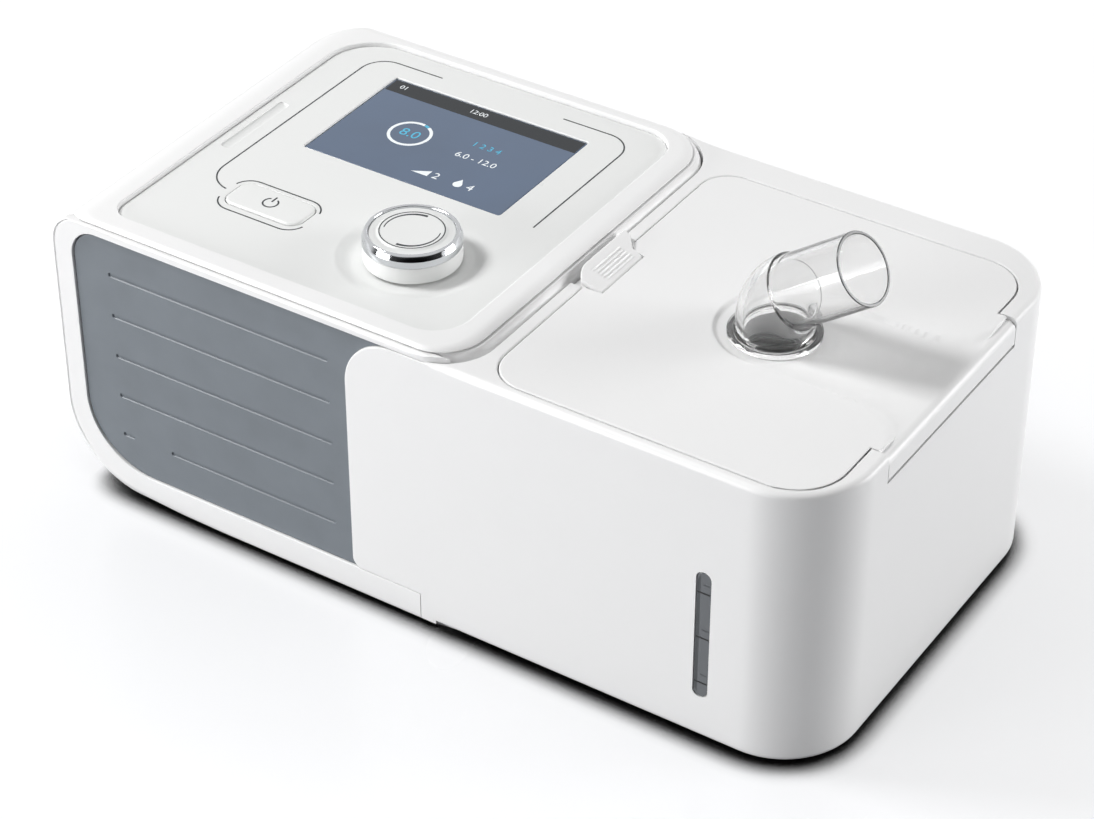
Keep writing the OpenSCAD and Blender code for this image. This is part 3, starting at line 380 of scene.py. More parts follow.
heights = np.unique(np.round(np.concatenate([
    foot + lower_r * (1 - np.sin(np.radians(np.linspace(90, 0, 26)))),
    upper_z + upper_r * np.sin(np.radians(np.linspace(0, 62, 18))),
    np.linspace(top - edge_r, parting - 0.35, 8)]), 4))
outer = [(case_outline(z), z) for z in heights]
outer += [(case_outline(parting - 0.1, 0.1), parting - 0.1), (case_outline(parting, 0.35), parting)]
inner_heights = heights[(heights > foot + wall + 0.05) & (heights < parting - 1)]
inner = [(case_outline(z, wall), z) for z in [foot + wall, *inner_heights, parting]]
filter_x, filter_z, inlet_x, inlet_z, duct_y, duct_z = -59.5, 24.0, -93.5, 24.0, 10.8, 46.0

tub = weld([
    rings(outer), rings(inner), flat_face([outer[0][0]], foot),
    flat_face([inner[0][0]], foot + wall), flat_face([outer[-1][0], inner[-1][0]], parting)])
tub = carve(tub, cuts=[
    box((filter_x, 66, filter_z), (filter_x + 46, 74, filter_z + 36)),
    box((inlet_x - 7.1, 66, inlet_z - 5.6), (inlet_x + 7.1, 74, inlet_z + 5.6)),
    along_x(right - 4, right + 1, duct_y, duct_z, 12.1)])
place_piece("case_tub", tub, white_abs, "housing", ["lower_case"])

# ---- Front frame ----
# White ABS moulding of its own, a band with a rounded outer edge round the grey panel, snapped
# on to the front of the tub.

front_back = front + 3.3
open_left, open_low, open_high = -125.0, 11.0, 97.2
open_low_r, open_high_r = 24, 10
band_end_high, band_end_low = 11.4, 0.85


def band_edge(x, low, high, low_r, high_r, cut):
    """Edge of the band in the front view, from its upper right end to its lower right end: a
    level line at height cut, an arc, an upright line at x, an arc, and a level line."""
    rise = math.degrees(math.asin((cut - high + high_r) / high_r))
    meet = x + high_r - high_r * math.cos(math.radians(rise))
    return np.vstack([
        np.linspace((band_end_high, cut), (meet, cut), 12),
        arc_points(x + high_r, high - high_r, high_r, 180 - rise, 180, 24),
        np.linspace((x, high - high_r), (x, low + low_r), 8),
        arc_points(x + low_r, low + low_r, low_r, 180, 270, 32),
        np.linspace((x + low_r, low), (band_end_low, low), 8)])


outer_edge = band_edge(left, foot, top, lower_r, upper_r, parting)
inner_edge = band_edge(open_left, open_low, open_high, open_low_r, open_high_r, open_high)
across = outer_edge - inner_edge
width = np.linalg.norm(across, axis=1)
across = across / width[:, None]
# the rounded edge grows over 14 mm down the left side, and is a plain 1.5 mm along the bottom
share = np.clip((parting - outer_edge[:, 1]) / 14, 0, 1)
share = share * share * (3 - 2 * share)
low_share = np.clip((outer_edge[:, 0] - left - lower_r) / 20, 0, 1) * (outer_edge[:, 1] < 20)
round_wide = (1.2 + 3.3 * share) * (1 - low_share) + 1.5 * low_share
round_deep = (1.1 + 2.2 * share) * (1 - low_share) + 1.5 * low_share
groove_centre = 1.3 + 2.4 * share
groove_share = (np.clip((-108 - outer_edge[:, 0]) / 8, 0, 1)
                * np.clip((outer_edge[:, 1] - 8) / 10, 0, 1))


def face_depth(q):
    """Place in depth of the band's face at q mm from its outer edge: a quarter ellipse over the
    rounded width, and at the left a groove 0.9 mm wide and deep, shaped as a raised cosine."""
    t = np.clip(1 - q / round_wide, 0, 1)
    dip = 0.5 + 0.5 * np.cos(np.pi * np.clip((q - groove_centre) / 0.45, -1, 1))
    return front + round_deep * (1 - np.sqrt(1 - t * t)) + 0.9 * groove_share * dip


# the band's section, as distances from its inner edge and depths
profile = [(0, front_back), (0, front + 0.35), (0.12, front + 0.1), (0.35, front)]
face = [groove_centre + d for d in np.linspace(0.55, -0.55, 13)]
face += [(groove_centre - 0.55) * (1 - math.sin(a)) for a in np.radians(np.linspace(10, 90, 10))]
profile += [(width - q, face_depth(q)) for q in face]
# a fine step at the back leaves a groove before the tub
profile += [(width - inset, front_back - y)
            for inset, y in ((0, 0.9), (0.25, 0.7), (0.8, 0.6), (0.8, 0))]
profile += [(0, front_back)]
band = np.stack([np.column_stack([inner_edge[:, 0] + across[:, 0] * s,
                                  np.broadcast_to(y, len(width)),
                                  inner_edge[:, 1] + across[:, 1] * s]) for s, y in profile])
# the right end turns back with the corner of the main unit
corner = np.vstack([arc_points(corner_x, corner_y, corner_r, -90, 0, 24), [
    (right, -60), (right + 8, -60), (right + 8, -76), (corner_x, -76), (corner_x, front)]])
band = carve(weld([sheet(band), fan(band[:, 0]), fan(band[:, -1])]),
             cuts=[prism(corner, open_high - 8, parting + 1)])
place_piece("front_band", band, white_abs, "housing", ["front_frame"])

# ---- Grey front panel ----
# Slate-grey ABS insert with a satin texture and five fine moulded grooves. It is pushed into the
# frame from behind, 0.8 mm below its face, and the humidifier's front laps over its right end.

# textured ABS: a cool mid grey, matt from above and with a broad sheen at a low angle
slate = finish("satin_slate_abs", "#757c83", 0.36, grain=0.5, relief=0.010, tone=0.03)
panel_face, lap_left, lap_top_r, lap_low_r = front + 0.8, -23.8, 17.5, 3.5
lap_top_z, lap_low_z = 79.6, 14.6
panel_outline = closed(np.vstack([
    arc_points(open_left + open_low_r, open_low + open_low_r, 23.7, 180, 270, 24),
    np.linspace((-101, 11.3), (lap_left + 3.0, 11.3), 3)[1:],
    arc_points(lap_left + lap_low_r, lap_low_z, 3.6, 250, 180, 10),
    arc_points(lap_left + lap_top_r, lap_top_z, 17.6, 180, 100, 24),
    np.linspace((lap_left + 14.0, 96.7), (open_left + open_high_r, 96.7), 3),
    arc_points(open_left + open_high_r, open_high - 10.1, 9.6, 90, 180, 16)]))


def in_front(sheets):
    """The sheets with Y and Z exchanged, for outlines drawn as (x, z) in the front view, where
    each height is a depth."""
    return [(points[:, [0, 2, 1]], faces) for points, faces in sheets]


def groove(x0, x1, z):
    """Closed sheets of a groove cutter: a bar with half-round ends, 1.7 mm wide at the panel's
    face and 1.1 mm wide 0.5 mm below it."""
    rows = []
    for half, depth in ((1.1, -0.25), (0.85, 0), (0.62, 0.25), (0.55, 0.5)):
        bar = [arc_points(x1, z, half, -90, 90, 9), arc_points(x0, z, half, 90, 270, 9)]
        rows.append((closed(np.vstack(bar)), panel_face + depth))
    return in_front(solid(rows))


groove_left, groove_right, groove_step = -111.2, -30.9, 14.9
bars = [groove(groove_left, groove_right, 84.0 - groove_step * i) for i in range(4)]
bars += [groove(groove_left, -108.2, 24.4), groove(-92.2, groove_right, 24.4)]
grey = carve(weld(in_front(prism(panel_outline, panel_face, front_back))), cuts=bars)
place_piece("grey_panel", grey, slate, "housing", ["front_panel"], crease=30)

# ---- Top cover ----
# White ABS cover of the main unit, rounded over at the left like the case, with a flat rim round
# the pocket that the control plate is bonded into. It snaps on to the tub at the parting line.


def cover_outline(z, depth=0.0):
    """Plan of the top cover at a height, moved inwards by depth: it goes on with the arcs of the
    case, and its front edge is an arc from 1.1 to 2.8 mm inwards."""
    l = edge_inset(top - z, upper_r, 0) + depth
    r = edge_inset(top - z, edge_r, 0) + depth
    share = np.clip((z - parting) / (top - parting), 0, 1)
    f = 1.1 + 1.7 * (1 - math.sqrt(1 - share * share)) + depth
    return rounded_rectangle(
        (left + l, front + f), (right - r, back - r),
        [(4.5, 3.5), (corner_r - r, corner_r - f), (back_r - r, back_r - r),
         (back_r - min(l, 15), back_r - r)], 16)


def plate_outline(grow):
    """Outline of the control plate, moved outwards."""
    return rounded_rectangle((-116.1 - grow, -64.45 - grow), (6.7 + grow, 64.45 + grow),
                             [7 + grow, 12 + grow, 12 + grow, 17 + grow], 16)


def button_outline(grow):
    """Outline of the start button, moved outwards."""
    return rounded_rectangle((button_x - 14 - grow, button_y - 6.5 - grow),
                             (button_x + 14 + grow, button_y + 6.5 + grow), [4 + grow] * 4)


plate_floor, deck = 97.6, 95.6
screen_x, screen_y, button_x, button_y, knob_x, knob_y = -54.3, 24.1, -78.9, -33.5, -26.9, -33.0
cover_low = parting + 0.05
# a gap of 0.3 mm shows between the case and the cover
rim_rows = [(cover_outline(parting + z, depth), parting + z)
            for z, depth in ((0.05, 1.2), (0.35, 1.2), (0.42, 0.2), (0.6, 0.0))]
rim_rows += [(cover_outline(z), z) for z in top - (top - parting - 0.6) * (
    1 - np.sin(np.radians(np.linspace(0, 90, 10)[1:])))]
pocket_rows = [(plate_outline(0.1 + 0.5 * (1 - math.sin(a))), top - 0.5 * (1 - math.cos(a)))
               for a in np.radians(np.linspace(0, 90, 6))] + [(plate_outline(0.1), plate_floor)]
skirt = plate_outline(1.7)
cover = weld([
    rings(rim_rows), rings(pocket_rows), flat_face([rim_rows[-1][0], pocket_rows[0][0]], top),
    flat_face([pocket_rows[-1][0]], plate_floor), flat_face([rim_rows[0][0], skirt], cover_low),
    rings([(skirt, cover_low), (skirt, deck)]), flat_face([skirt], deck)])
cover = carve(cover, cuts=[
    box((screen_x - 40.2, screen_y - 28.7, deck - 1),
        (screen_x + 40.2, screen_y + 28.7, plate_floor + 1)),
    prism(button_outline(0.2), deck - 1, plate_floor + 1),
    prism(circle(knob_x, knob_y, 4.6), deck - 1, plate_floor + 1)])
place_piece("cover_rim", cover, white_abs, "housing", ["top_cover"])

# ---- Control plate ----
# Satin white ABS plate with a soft dish round the knob, a finger scoop at the left, and fine
# grey lines printed round the screen and the button.

# smooth moulded ABS: a slightly darker white than the casing, with a tighter highlight
satin_white = finish("satin_white_abs", "#edeeed", 0.28, grain=0.9, relief=0.002, tone=0.0015)
plate_top, screen_w, screen_d = 99.9, 72.6, 49.6


def screen_outline(grow, radius=0.6):
    """Outline of the screen, moved outwards."""
    w, d = screen_w / 2 + grow, screen_d / 2 + grow
    return rounded_rectangle((screen_x - w, screen_y - d), (screen_x + w, screen_y + d),
                             [max(radius + grow, 0.1)] * 4, 6)


def edge_rows(outline_at, z, radius, end, side):
    """Rows of a wall whose top edge is rounded: it starts at the radius inwards (side -1) or
    outwards (side 1) at height z and drops over a quarter circle, then goes straight to end."""
    turn = np.radians(np.linspace(0, 90, 6))
    rows = [(outline_at(side * radius * (1 - math.sin(a))), z - radius * (1 - math.cos(a)))
            for a in turn]
    return rows + [(outline_at(0), end)]


def capsule(x, y0, y1, half):
    """Capsule along the second axis, from y0 to y1."""
    return closed(np.vstack([arc_points(x, y1 - half, half, 0, 180, 17),
                             arc_points(x, y0 + half, half, 180, 360, 17)]))


plate_low, dish_floor = plate_floor + 0.1, plate_top - 1.1
plate_rows = edge_rows(plate_outline, plate_top, 0.6, plate_low, -1)
dish_rows = [(circle(knob_x, knob_y, 23.6 - 5.6 * t), plate_top - 1.1 * t * t * (3 - 2 * t))
             for t in np.linspace(0, 1, 10)]
dish_rows += [(circle(knob_x, knob_y, r), z)
              for r, z in ((12.0, dish_floor), (4.6, dish_floor), (4.6, plate_low))]
# the scoop is half an ellipse across, 2 mm to each side and 0.8 mm deep
turn = np.radians(np.linspace(0, 90, 9))
scoop_rows = [(capsule(-111.1, -13 - half, 15 + half, half), plate_top - deep)
              for half, deep in zip(2.0 * np.cos(turn) + 0.001, 0.8 * np.sin(turn))]
screen_rows = edge_rows(lambda g: screen_outline(0.25 + g), plate_top, 0.45, plate_low, 1)
hole_rows = edge_rows(lambda g: button_outline(0.25 + g), plate_top, 0.4, plate_low, 1)
top_rows = [plate_rows, dish_rows, scoop_rows, screen_rows, hole_rows]
plate = weld([rings(rows) for rows in top_rows] + [
    flat_face([rows[0][0] for rows in top_rows], plate_top),
    flat_face([rows[-1][0] for rows in top_rows if rows is not scoop_rows], plate_low)])
place_piece("control_plate", plate, satin_white, "housing", ["control_panel"])

# screen-printed ink: flat, nearly black lines without shine
ink = finish("dark_grey_print", "#34373b", 0.5, grain=0.3, relief=0.002, tone=0.05, mottle=5.0)


def stroke(points, width, z, thick=0.03):
    """Closed sheets of a printed line: the path moved to both sides by half its width, which may
    change along it, on its own normals, from z up by its thickness."""
    points = np.array(points, float)
    along = np.gradient(points, axis=0)
    across = np.stack([-along[:, 1], along[:, 0]], -1) / np.linalg.norm(along, axis=1)[:, None]
    across = across * np.broadcast_to(width, len(points))[:, None] / 2
    return prism(closed(np.vstack([points + across, (points - across)[::-1]])), z, z + thick)


screen_line = np.vstack([
    np.linspace((-78.1, 56.6), (-94.9, 56.6), 3), arc_points(-95.4, 48.1, 8.5, 90, 180, 14),
    np.linspace((-103.9, 47.5), (-104.3, -23.0), 4), arc_points(-94.3, -23.8, 10.0, 180, 262, 14)])
side_line = np.vstack([
    np.linspace((-32.0, 56.6), (-14.9, 56.6), 3), arc_points(-14.4, 47.7, 8.9, 90, 0, 14),
    np.linspace((-5.5, 47.2), (-5.5, -1.0), 3)])
# the lines above and below the button bend round it with 6 mm arcs
upper_line, lower_line = [np.vstack([
    arc_points(-88.9, y, 6.0, side * (90 + bend), side * 90, 10),
    np.linspace((-88.4, y + side * 6.0), (-69.7, y + side * 6.0), 3),
    arc_points(-69.2, y, 6.0, side * 90, side * (90 - bend), 10)])
    for y, side, bend in ((-31.2, 1, 76), (-36.8, -1, 76))]
lines = [part for points in (screen_line, side_line, upper_line, lower_line)
         for part in stroke(points, 0.5, plate_top)]
place_piece("printed_lines", weld(lines), ink, "housing")

# ---- Display ----
# A slab of tinted glass, bonded into the window of the control plate 0.4 mm below its face, with
# a faintly blue screen behind it.

# coated glass over a lit screen: a deep greyish blue with sharp reflections on top
screen_glass = finish("tinted_display_glass", "#415b7c", 0.12, grain=3, relief=0.0, tone=0.04,
                      mottle=30.0, **{"Coat Weight": 1.0, "Coat Roughness": 0.03})
glass_top = plate_top - 0.4
lens = weld(solid(edge_rows(screen_outline, glass_top, 0.25, plate_floor + 0.05, -1)))
place_piece("screen_glass", lens, screen_glass, "housing", ["display_lens"])

# The picture on it is white and pale blue: a dial with a number, a level and a drop, each with a
# plain number, under a darker bar with the time.


def screen_print(name, colour, strength):
    """A lit colour of the display: a plain shader that glows a little, and darkens by a tenth
    over the pixels, drawn 0.5 mm wide so that they show."""
    made, tree = new_material(name)
    where = add_node(tree, "ShaderNodeTexCoord", result="Object")
    pixels = add_node(tree, "ShaderNodeTexVoronoi", {"Vector": where, "Scale": 2000.0})
    dim = add_node(tree, "ShaderNodeMapRange", {
        "Value": pixels, "To Min": strength, "To Max": strength * 0.9})
    shader = add_node(tree, "ShaderNodeBsdfPrincipled", {
        "Base Color": linear(colour), "Roughness": 0.2,
        "Emission Color": linear(colour), "Emission Strength": dim})
    add_node(tree, "ShaderNodeOutputMaterial", {"Surface": shader})
    return made


def figures(text, x, y, size, z):
    """Closed mesh of plain numbers as sheets, in mm, centred at (x, y) on the screen."""
    curve = bpy.data.curves.new("figures", "FONT")
    curve.body, curve.size, curve.align_x, curve.align_y = text, size, "CENTER", "CENTER"
    curve.extrude = 0.015
    letters = bpy.data.objects.new("figures", curve)
    bpy.context.collection.objects.link(letters)
    mesh = letters.to_mesh()
    points = np.empty(len(mesh.vertices) * 3)
    mesh.vertices.foreach_get("co", points)
    mesh.calc_loop_triangles()
    triangles = np.empty(len(mesh.loop_triangles) * 3, int)
    mesh.loop_triangles.foreach_get("vertices", triangles)
    bpy.data.objects.remove(letters)
    return points.reshape(-1, 3) + (x, y, z + 0.015), triangles.reshape(-1, 3)


def screen_spot(across, up):
    """Point of the screen, from its middle."""
    return screen_x + across, screen_y + up


# the unlit bar at the top of the picture: nearly black
bar_ink = screen_print("display_bar", "#161c22", 0.02)
bar_outline = screen_outline(-0.4, 0.5)
bar_outline[:, 1] = np.maximum(bar_outline[:, 1], screen_y + 17.6)
bar_top, print_top = glass_top + 0.012, glass_top + 0.03
place_piece("screen_bar", weld(prism(bar_outline, glass_top, bar_top)), bar_ink, "housing")

# lit white pixels: a touch brighter than paper on the dark glass
white_ink = screen_print("display_white", "#eef3f6", 0.12)
dial_x, dial_y = screen_spot(-13.4, -0.6)
dial_r, dial_w = 6.7, 1.05
dial = arc_points(dial_x, dial_y, dial_r, 62, -280, 60)
level_x, level_y = screen_spot(2.0, -18.2)
level_mark = closed(np.array([(level_x - 2.6, level_y), (level_x + 3.2, level_y),
                              (level_x + 3.2, level_y + 3.1)]))
drop_x, drop_y = screen_spot(15.8, -17.0)
drop = closed(np.vstack([arc_points(drop_x, drop_y, 1.5, 150, 390, 18), [(drop_x, drop_y + 3.0)]]))
white_parts = [
    *stroke(dial, dial_w, glass_top), *prism(level_mark, glass_top, print_top),
    *prism(drop, glass_top, print_top)]
white_parts += [figures(text, *screen_spot(across, up), size, z) for text, across, up, size, z in (
    ("2", 7.7, -16.8, 4.6, glass_top), ("4", 20.2, -16.8, 4.6, glass_top),
    ("6.0 - 12.0", 12.6, -2.4, 3.9, glass_top), ("12:00", -2.2, 21.2, 3.0, bar_top),
    ("01", -31.0, 21.4, 3.0, bar_top))]
place_piece("screen_white_marks", weld(white_parts), white_ink, "housing")

# lit blue pixels: pale cyan, which stands out from the blue glass
blue_ink = screen_print("display_blue", "#4fb4d6", 0.12)
lit = arc_points(dial_x, dial_y, dial_r, 78, 64, 8)
blue_parts = [*stroke(lit, dial_w, glass_top), figures("8.0", dial_x, dial_y, 5.8, glass_top),
              figures("1 2 3 4", *screen_spot(11.6, 5.2), 3.7, glass_top)]
place_piece("screen_blue_marks", weld(blue_parts), blue_ink, "housing")

# ---- Start button ----
# One wide key of white ABS, crowned and rounded all round, that stands 0.6 mm above the plate. It
# slides in its hole and presses a switch on the board with a short stem.

key_low, key_top = 94.1, 100.5
crown = [(0, key_low), (0, 99.6)]
crown += [(1 - math.cos(a), 99.6 + 0.8 * math.sin(a)) for a in np.radians(np.linspace(10, 90, 8))]
key = weld(solid([(button_outline(-inset), z) for inset, z in [*crown, (3.9, key_top)]]))
key = carve(key, joins=[
    box((button_x - 3, button_y - 3, 93.6), (button_x + 3, button_y + 3, key_low + 0.5))])
place_piece("start_key", key, satin_white, "start_button", ["start_button"])

# a plain standby sign is printed on the key
sign = stroke(arc_points(button_x, button_y, 2.4, 60, -240, 40), 0.55, key_top)
sign += stroke([(button_x, button_y + 0.6), (button_x, button_y + 3.4)], 0.55, key_top)
place_piece("start_sign", weld(sign), ink, "start_button")

# ---- Knob ----
# White ABS turning knob, pushed on to the encoder's shaft in the middle of the dish, with a
# chrome-plated ring pressed over its top edge.


def turned(profile, x, y):
    """Sheet of a turned shape: each (r, z) of the profile goes once round the axis at (x, y)."""
    return rings([(circle(x, y, r), z) for r, z in profile])


# chrome plate on ABS: a mirror that shows the studio in black and white bands
chrome = finish("chrome_plating", "#d7d9dc", 0.09, grain=2.0, relief=0.0, tone=0.01, Metallic=1.0)
skirt_profile = [
    (0, 101.6), (12.5, 101.6), (12.5, 99.6), (14.5, 99.6), (14.8, 99.7), (14.9, 100.0),
    (14.9, 104.6), (14.8, 104.85), (14.6, 104.95), (12.95, 104.95), (12.95, 108.2), (12.8, 108.4),
    (12.4, 108.45), (11.0, 108.4), (10.6, 108.45), (10.3, 108.7), (10.1, 108.85), (9.8, 108.9),
    (6.0, 108.8), (0, 108.75)]
place_piece("knob_skirt", weld([turned(skirt_profile, knob_x, knob_y)]), satin_white, "knob",
            ["knob"])
ring_profile = [
    (12.98, 105.03), (14.85, 105.03), (15.0, 105.15), (15.0, 107.0), (14.93, 107.3), (14.3, 108.6),
    (14.1, 108.9), (13.85, 109.1), (13.6, 109.15), (13.35, 109.1), (13.15, 108.95), (12.98, 108.6),
    (12.98, 105.03)]
place_piece("knob_chrome", weld([turned(ring_profile, knob_x, knob_y)]), chrome, "knob",
            ["knob_ring"], crease=50)

# two broad strokes and a fine ring are printed on the middle of the knob
knob_marks = [turned([(9.55, 108.86), (9.55, 108.94), (9.9, 108.94), (9.9, 108.86),
                      (9.55, 108.86)], knob_x, knob_y)]
for start in (92, -88):
    knob_marks += stroke(arc_points(knob_x, knob_y, 8.5, start + 110, start, 30),
                         np.linspace(0.3, 0.95, 30), 108.78, 0.1)
place_piece("knob_strokes", weld(knob_marks), ink, "knob")

# ---- Humidifier shell ----
# White ABS housing of the water tank. Its front laps over the main unit, and it closes round
# the main unit's two right corners.

shell_left, shell_right, shell_low, shell_top = 18.1, 135.5, 1.9, 97.8
shell_r, shell_edge, ledge_top, ledge_low = 25, 2.2, 95.3, 93.4


def shell_rows():
    """Rows of the outer wall: the plan with its two cusps, moved inwards by the rounded edges at
    the top and the bottom. The move fades out over the last 8 mm to each cusp."""
    x, low_y, high_y = shell_right - shell_r, front + shell_r, back - shell_r
    ahead = np.linspace((corner_x + 3.6, front), (x, front), 14)
    right_front = arc_points(x, low_y, shell_r, -90, 0, 20)
    right_back = arc_points(x, high_y, shell_r, 0, 90, 20)
    behind = np.linspace((x, back), (right - back_r + 4, back), 14)
    # each cusp runs 0.4 mm outside the main unit's corner
    end = [math.degrees(math.atan2(y, x)) for x, y in ((4, back_r), (3.6, -corner_r))]
    back_cusp = arc_points(right - back_r, back - back_r, back_r + 0.4, end[0], 0, 20)
    front_cusp = arc_points(corner_x, corner_y, corner_r + 0.4, 0, end[1], 20)
    plan = np.vstack([ahead, right_front[1:], right_back, behind[1:], back_cusp[1:], front_cusp])
    outward = np.zeros_like(plan)
    a, b, c, d = np.cumsum([len(ahead), len(right_front) - 1, len(right_back), len(behind) - 1])
    outward[:a] = (0, -1)
    outward[a:b] = (right_front[1:] - (x, low_y)) / shell_r
    outward[b:c] = (right_back - (x, high_y)) / shell_r
    outward[c:d] = (0, 1)
    outward *= shell_edge * np.clip((plan[:, :1] - corner_x - 3.6) / 8, 0, 1)
    turn = np.radians(np.linspace(0, 90, 8))
    inset, drop = 1 - np.sin(turn), shell_edge * (1 - np.cos(turn))
    rows = [(closed(plan - outward * i), shell_low + z) for i, z in zip(inset, drop)]
    return rows + [(closed(plan - outward * i), shell_top - z) for i, z in zip(inset, drop)][::-1]


lid_left, lid_front, lid_right, lid_back, lid_gap = 22.25, -69.4, 129.45, 60.3, 0.35


def lid_outline(grow):
    """Outline of the lid, moved outwards."""
    return rounded_rectangle(
        (lid_left - grow, lid_front - grow), (lid_right + grow, lid_back + grow),
        [12 + grow, 16 + grow, 14 + grow, 10 + grow], 16)


room_plan = rounded_rectangle(
    (shell_left + wall, front + wall), (shell_right - wall, back - wall),
    [3, shell_r - wall, shell_r - wall, 3], 16)
skin = shell_rows()
mouth = edge_rows(lambda g: lid_outline(lid_gap + g), shell_top, 0.5, ledge_top, 1)
ledge = lid_outline(-2.5)
shell = weld([
    rings(skin), rings(mouth), rings([(ledge, ledge_top), (ledge, ledge_low)]),
    rings([(room_plan, ledge_low), (room_plan, shell_low)]),
    flat_face([skin[-1][0], mouth[0][0]], shell_top), flat_face([mouth[-1][0], ledge], ledge_top),
    flat_face([ledge, room_plan], ledge_low), flat_face([skin[0][0], room_plan], shell_low)])


def wing_outline(inset):
    """Outline in the front view of the front that laps over the grey panel, moved inwards."""
    low_x = 0.95 + inset
    return np.vstack([
        [(low_x, shell_low), (6.5, shell_low), (6.5, 97.1 - inset)],
        arc_points(lap_left + lap_top_r, lap_top_z, lap_top_r - inset, 90, 180, 24),
        arc_points(lap_left + lap_low_r, lap_low_z, lap_low_r - inset, 180, 270, 10),
        [(low_x, 11.1 + inset), (low_x, shell_low)]])


wing = in_front(solid([(wing_outline(inset), front + y) for inset, y in (
    (0.35, 0.01), (0.1, 0.1), (0.0, 0.35), (0.0, 3.0))]))
clear_right = lid_outline(lid_gap)
clear_right[:, 0] = np.maximum(clear_right[:, 0], 119.5)
window_x, flap_low, flap_high = 97.7, -40.0, 37.0
shell = carve(shell, joins=[wing], cuts=[
    prism(clear_right, 88, 95.9),
    box((21.9, -21, 90), (30.25, 16.6, 96.0)),
    box((126.8, flap_low - 0.35, 87.97), (137, flap_high + 0.35, 99)),
    box((17.1, -17, 96.2), (22.3, 12.6, 99)),
    in_front(prism(capsule(window_x, 16.9, 62.4, 2.5), front - 1, front + 3.4)),
    along_x(17.1, 21.6, duct_y, duct_z, 12.4)])
place_piece("humidifier_shell_skin", shell, white_abs, "housing", ["humidifier_shell"])

# ---- Lid ----
# White ABS lid with a soft recess round the elbow that runs out to the right. It turns on a steel
# pin in the flap along its right edge, and carries the latch and the elbow.

outlet_x, outlet_y, recess = 80.0, -5.5, 96.8
bay_x, bay_y, bay_r, bay_end, bay_turn = 81.5, -3.2, 19.7, 117.5, 15.7
lid_under, collar_low, hinge_x, hinge_z = 95.4, 91.0, 132.5, 93.8


def lid_height(x, y):
    """Top of the lid: 1 mm less than the shell's, times a smooth step over 1.6 mm at the edge of
    the recess, which is a 19.7 mm circle round the outlet and a channel from it to the right edge.
    The two corners where the channel meets that edge are arcs of 15.7 mm."""
    across = np.abs(y - bay_y)
    channel = bay_turn - np.hypot(np.maximum(x - bay_end, 0),
                                  np.maximum(bay_r + bay_turn - across, 0))
    d = np.where(x > bay_x, channel, np.hypot(x - bay_x, across) - bay_r)
    t = np.clip((0.8 - d) / 1.6, 0, 1)
    return shell_top - (shell_top - recess) * t * t * (3 - 2 * t)


def lid_rim(grow):
    """Outline of the lid with 48 more points along each side, and 3 mm wider along the hinge
    flap."""
    corners = lid_outline(grow)[:-1].reshape(4, 17, 2)
    ends = np.roll(corners, -1, axis=0)[:, :1]
    share = np.linspace(0, 1, 50)[1:-1, None]
    sides = corners[:, -1:] + (ends - corners[:, -1:]) * share
    x, y0, y1 = lid_right + grow, corners[1, -1, 1], corners[2, 0, 1]
    low, high = flap_low + 0.3, flap_high - 0.3
    sides[1] = np.vstack([np.linspace((x, y0), (x, low), 9)[1:],
                          np.linspace((x + 3, low), (x + 3, high), 32),
                          np.linspace((x, high), (x, y1), 9)[:-1]])
    return closed(np.concatenate([corners, sides], axis=1).reshape(-1, 2))


def rebate_outline(radius, y, side):
    """Outline of the cut under a right corner of the lid, at its front (side -1) or back (side 1):
    all that lies outside an arc of the corner's radius, 1.9 mm inside the lid's right edge. The
    lid reaches over the shell there with a thin skin."""
    edge, x, middle = lid_right - 1.9, lid_right - 1.9 - radius, y - side * radius
    return np.vstack([arc_points(x, middle, radius, side * 90, 0, 20), [
        (edge, middle - side * 1.3), (131, middle - side * 1.3), (131, y + side * 1.3),
        (x, y + side * 1.3), (x, y)]])


def along_y(x, y0, y1, z, radius):
    """Closed sheets of a round bar along Y."""
    return [(points[:, [1, 0, 2]], faces) for points, faces in along_x(y0, y1, x, z, radius)]


rim = lid_rim(-0.5)
ends = rim - (outlet_x, outlet_y)
around = ends / np.linalg.norm(ends, axis=1, keepdims=True)
hub, collar = ((outlet_x, outlet_y) + radius * around for radius in (11.15, 14.5))
plan = hub + (rim - hub) * np.linspace(0, 1, 130)[:, None, None]
roof = np.concatenate([plan, lid_height(plan[..., 0], plan[..., 1])[..., None]], axis=-1)
rim_z, under = lid_height(*rim.T), lid_rim(0)
edge = [np.column_stack([lid_rim(-0.5 * (1 - math.sin(a))), rim_z - 0.5 * (1 - math.cos(a))])
        for a in np.radians(np.linspace(0, 90, 6))]
edge += [np.column_stack([under, np.full(len(under), lid_under)])]
neck = [roof[0], np.column_stack([hub, np.full(len(hub), collar_low)])]
panel = weld([
    sheet(roof), sheet(np.stack(edge)), sheet(np.stack(neck)),
    flat_face([under, collar], lid_under), rings([(collar, lid_under), (collar, collar_low)]),
    flat_face([collar, hub], collar_low)])
turn = np.radians(np.linspace(90, 0, 12))
flap = np.vstack([
    [(127.5, 95.6), (127.5, recess - 0.01)],
    np.column_stack([hinge_x + 3 * np.cos(turn), hinge_z + 2.99 * np.sin(turn)]),
    [(135.5, 89.1), (133.3, 89.1), (133.3, 92.9), (131.9, 92.9), (129.0, 95.6), (127.5, 95.6)]])
latch_hole = closed(np.array([(17.5, -9.0), (20.9, -16.8), (28.85, -16.8), (28.85, 6.6),
                              (24.8, 7.4), (20.9, 12.4), (17.5, 12.4)]))
ears = [box((23.45, y, 93.2), (30.45, y + 3.6, 95.9)) for y in (-20.4, 12.4)]
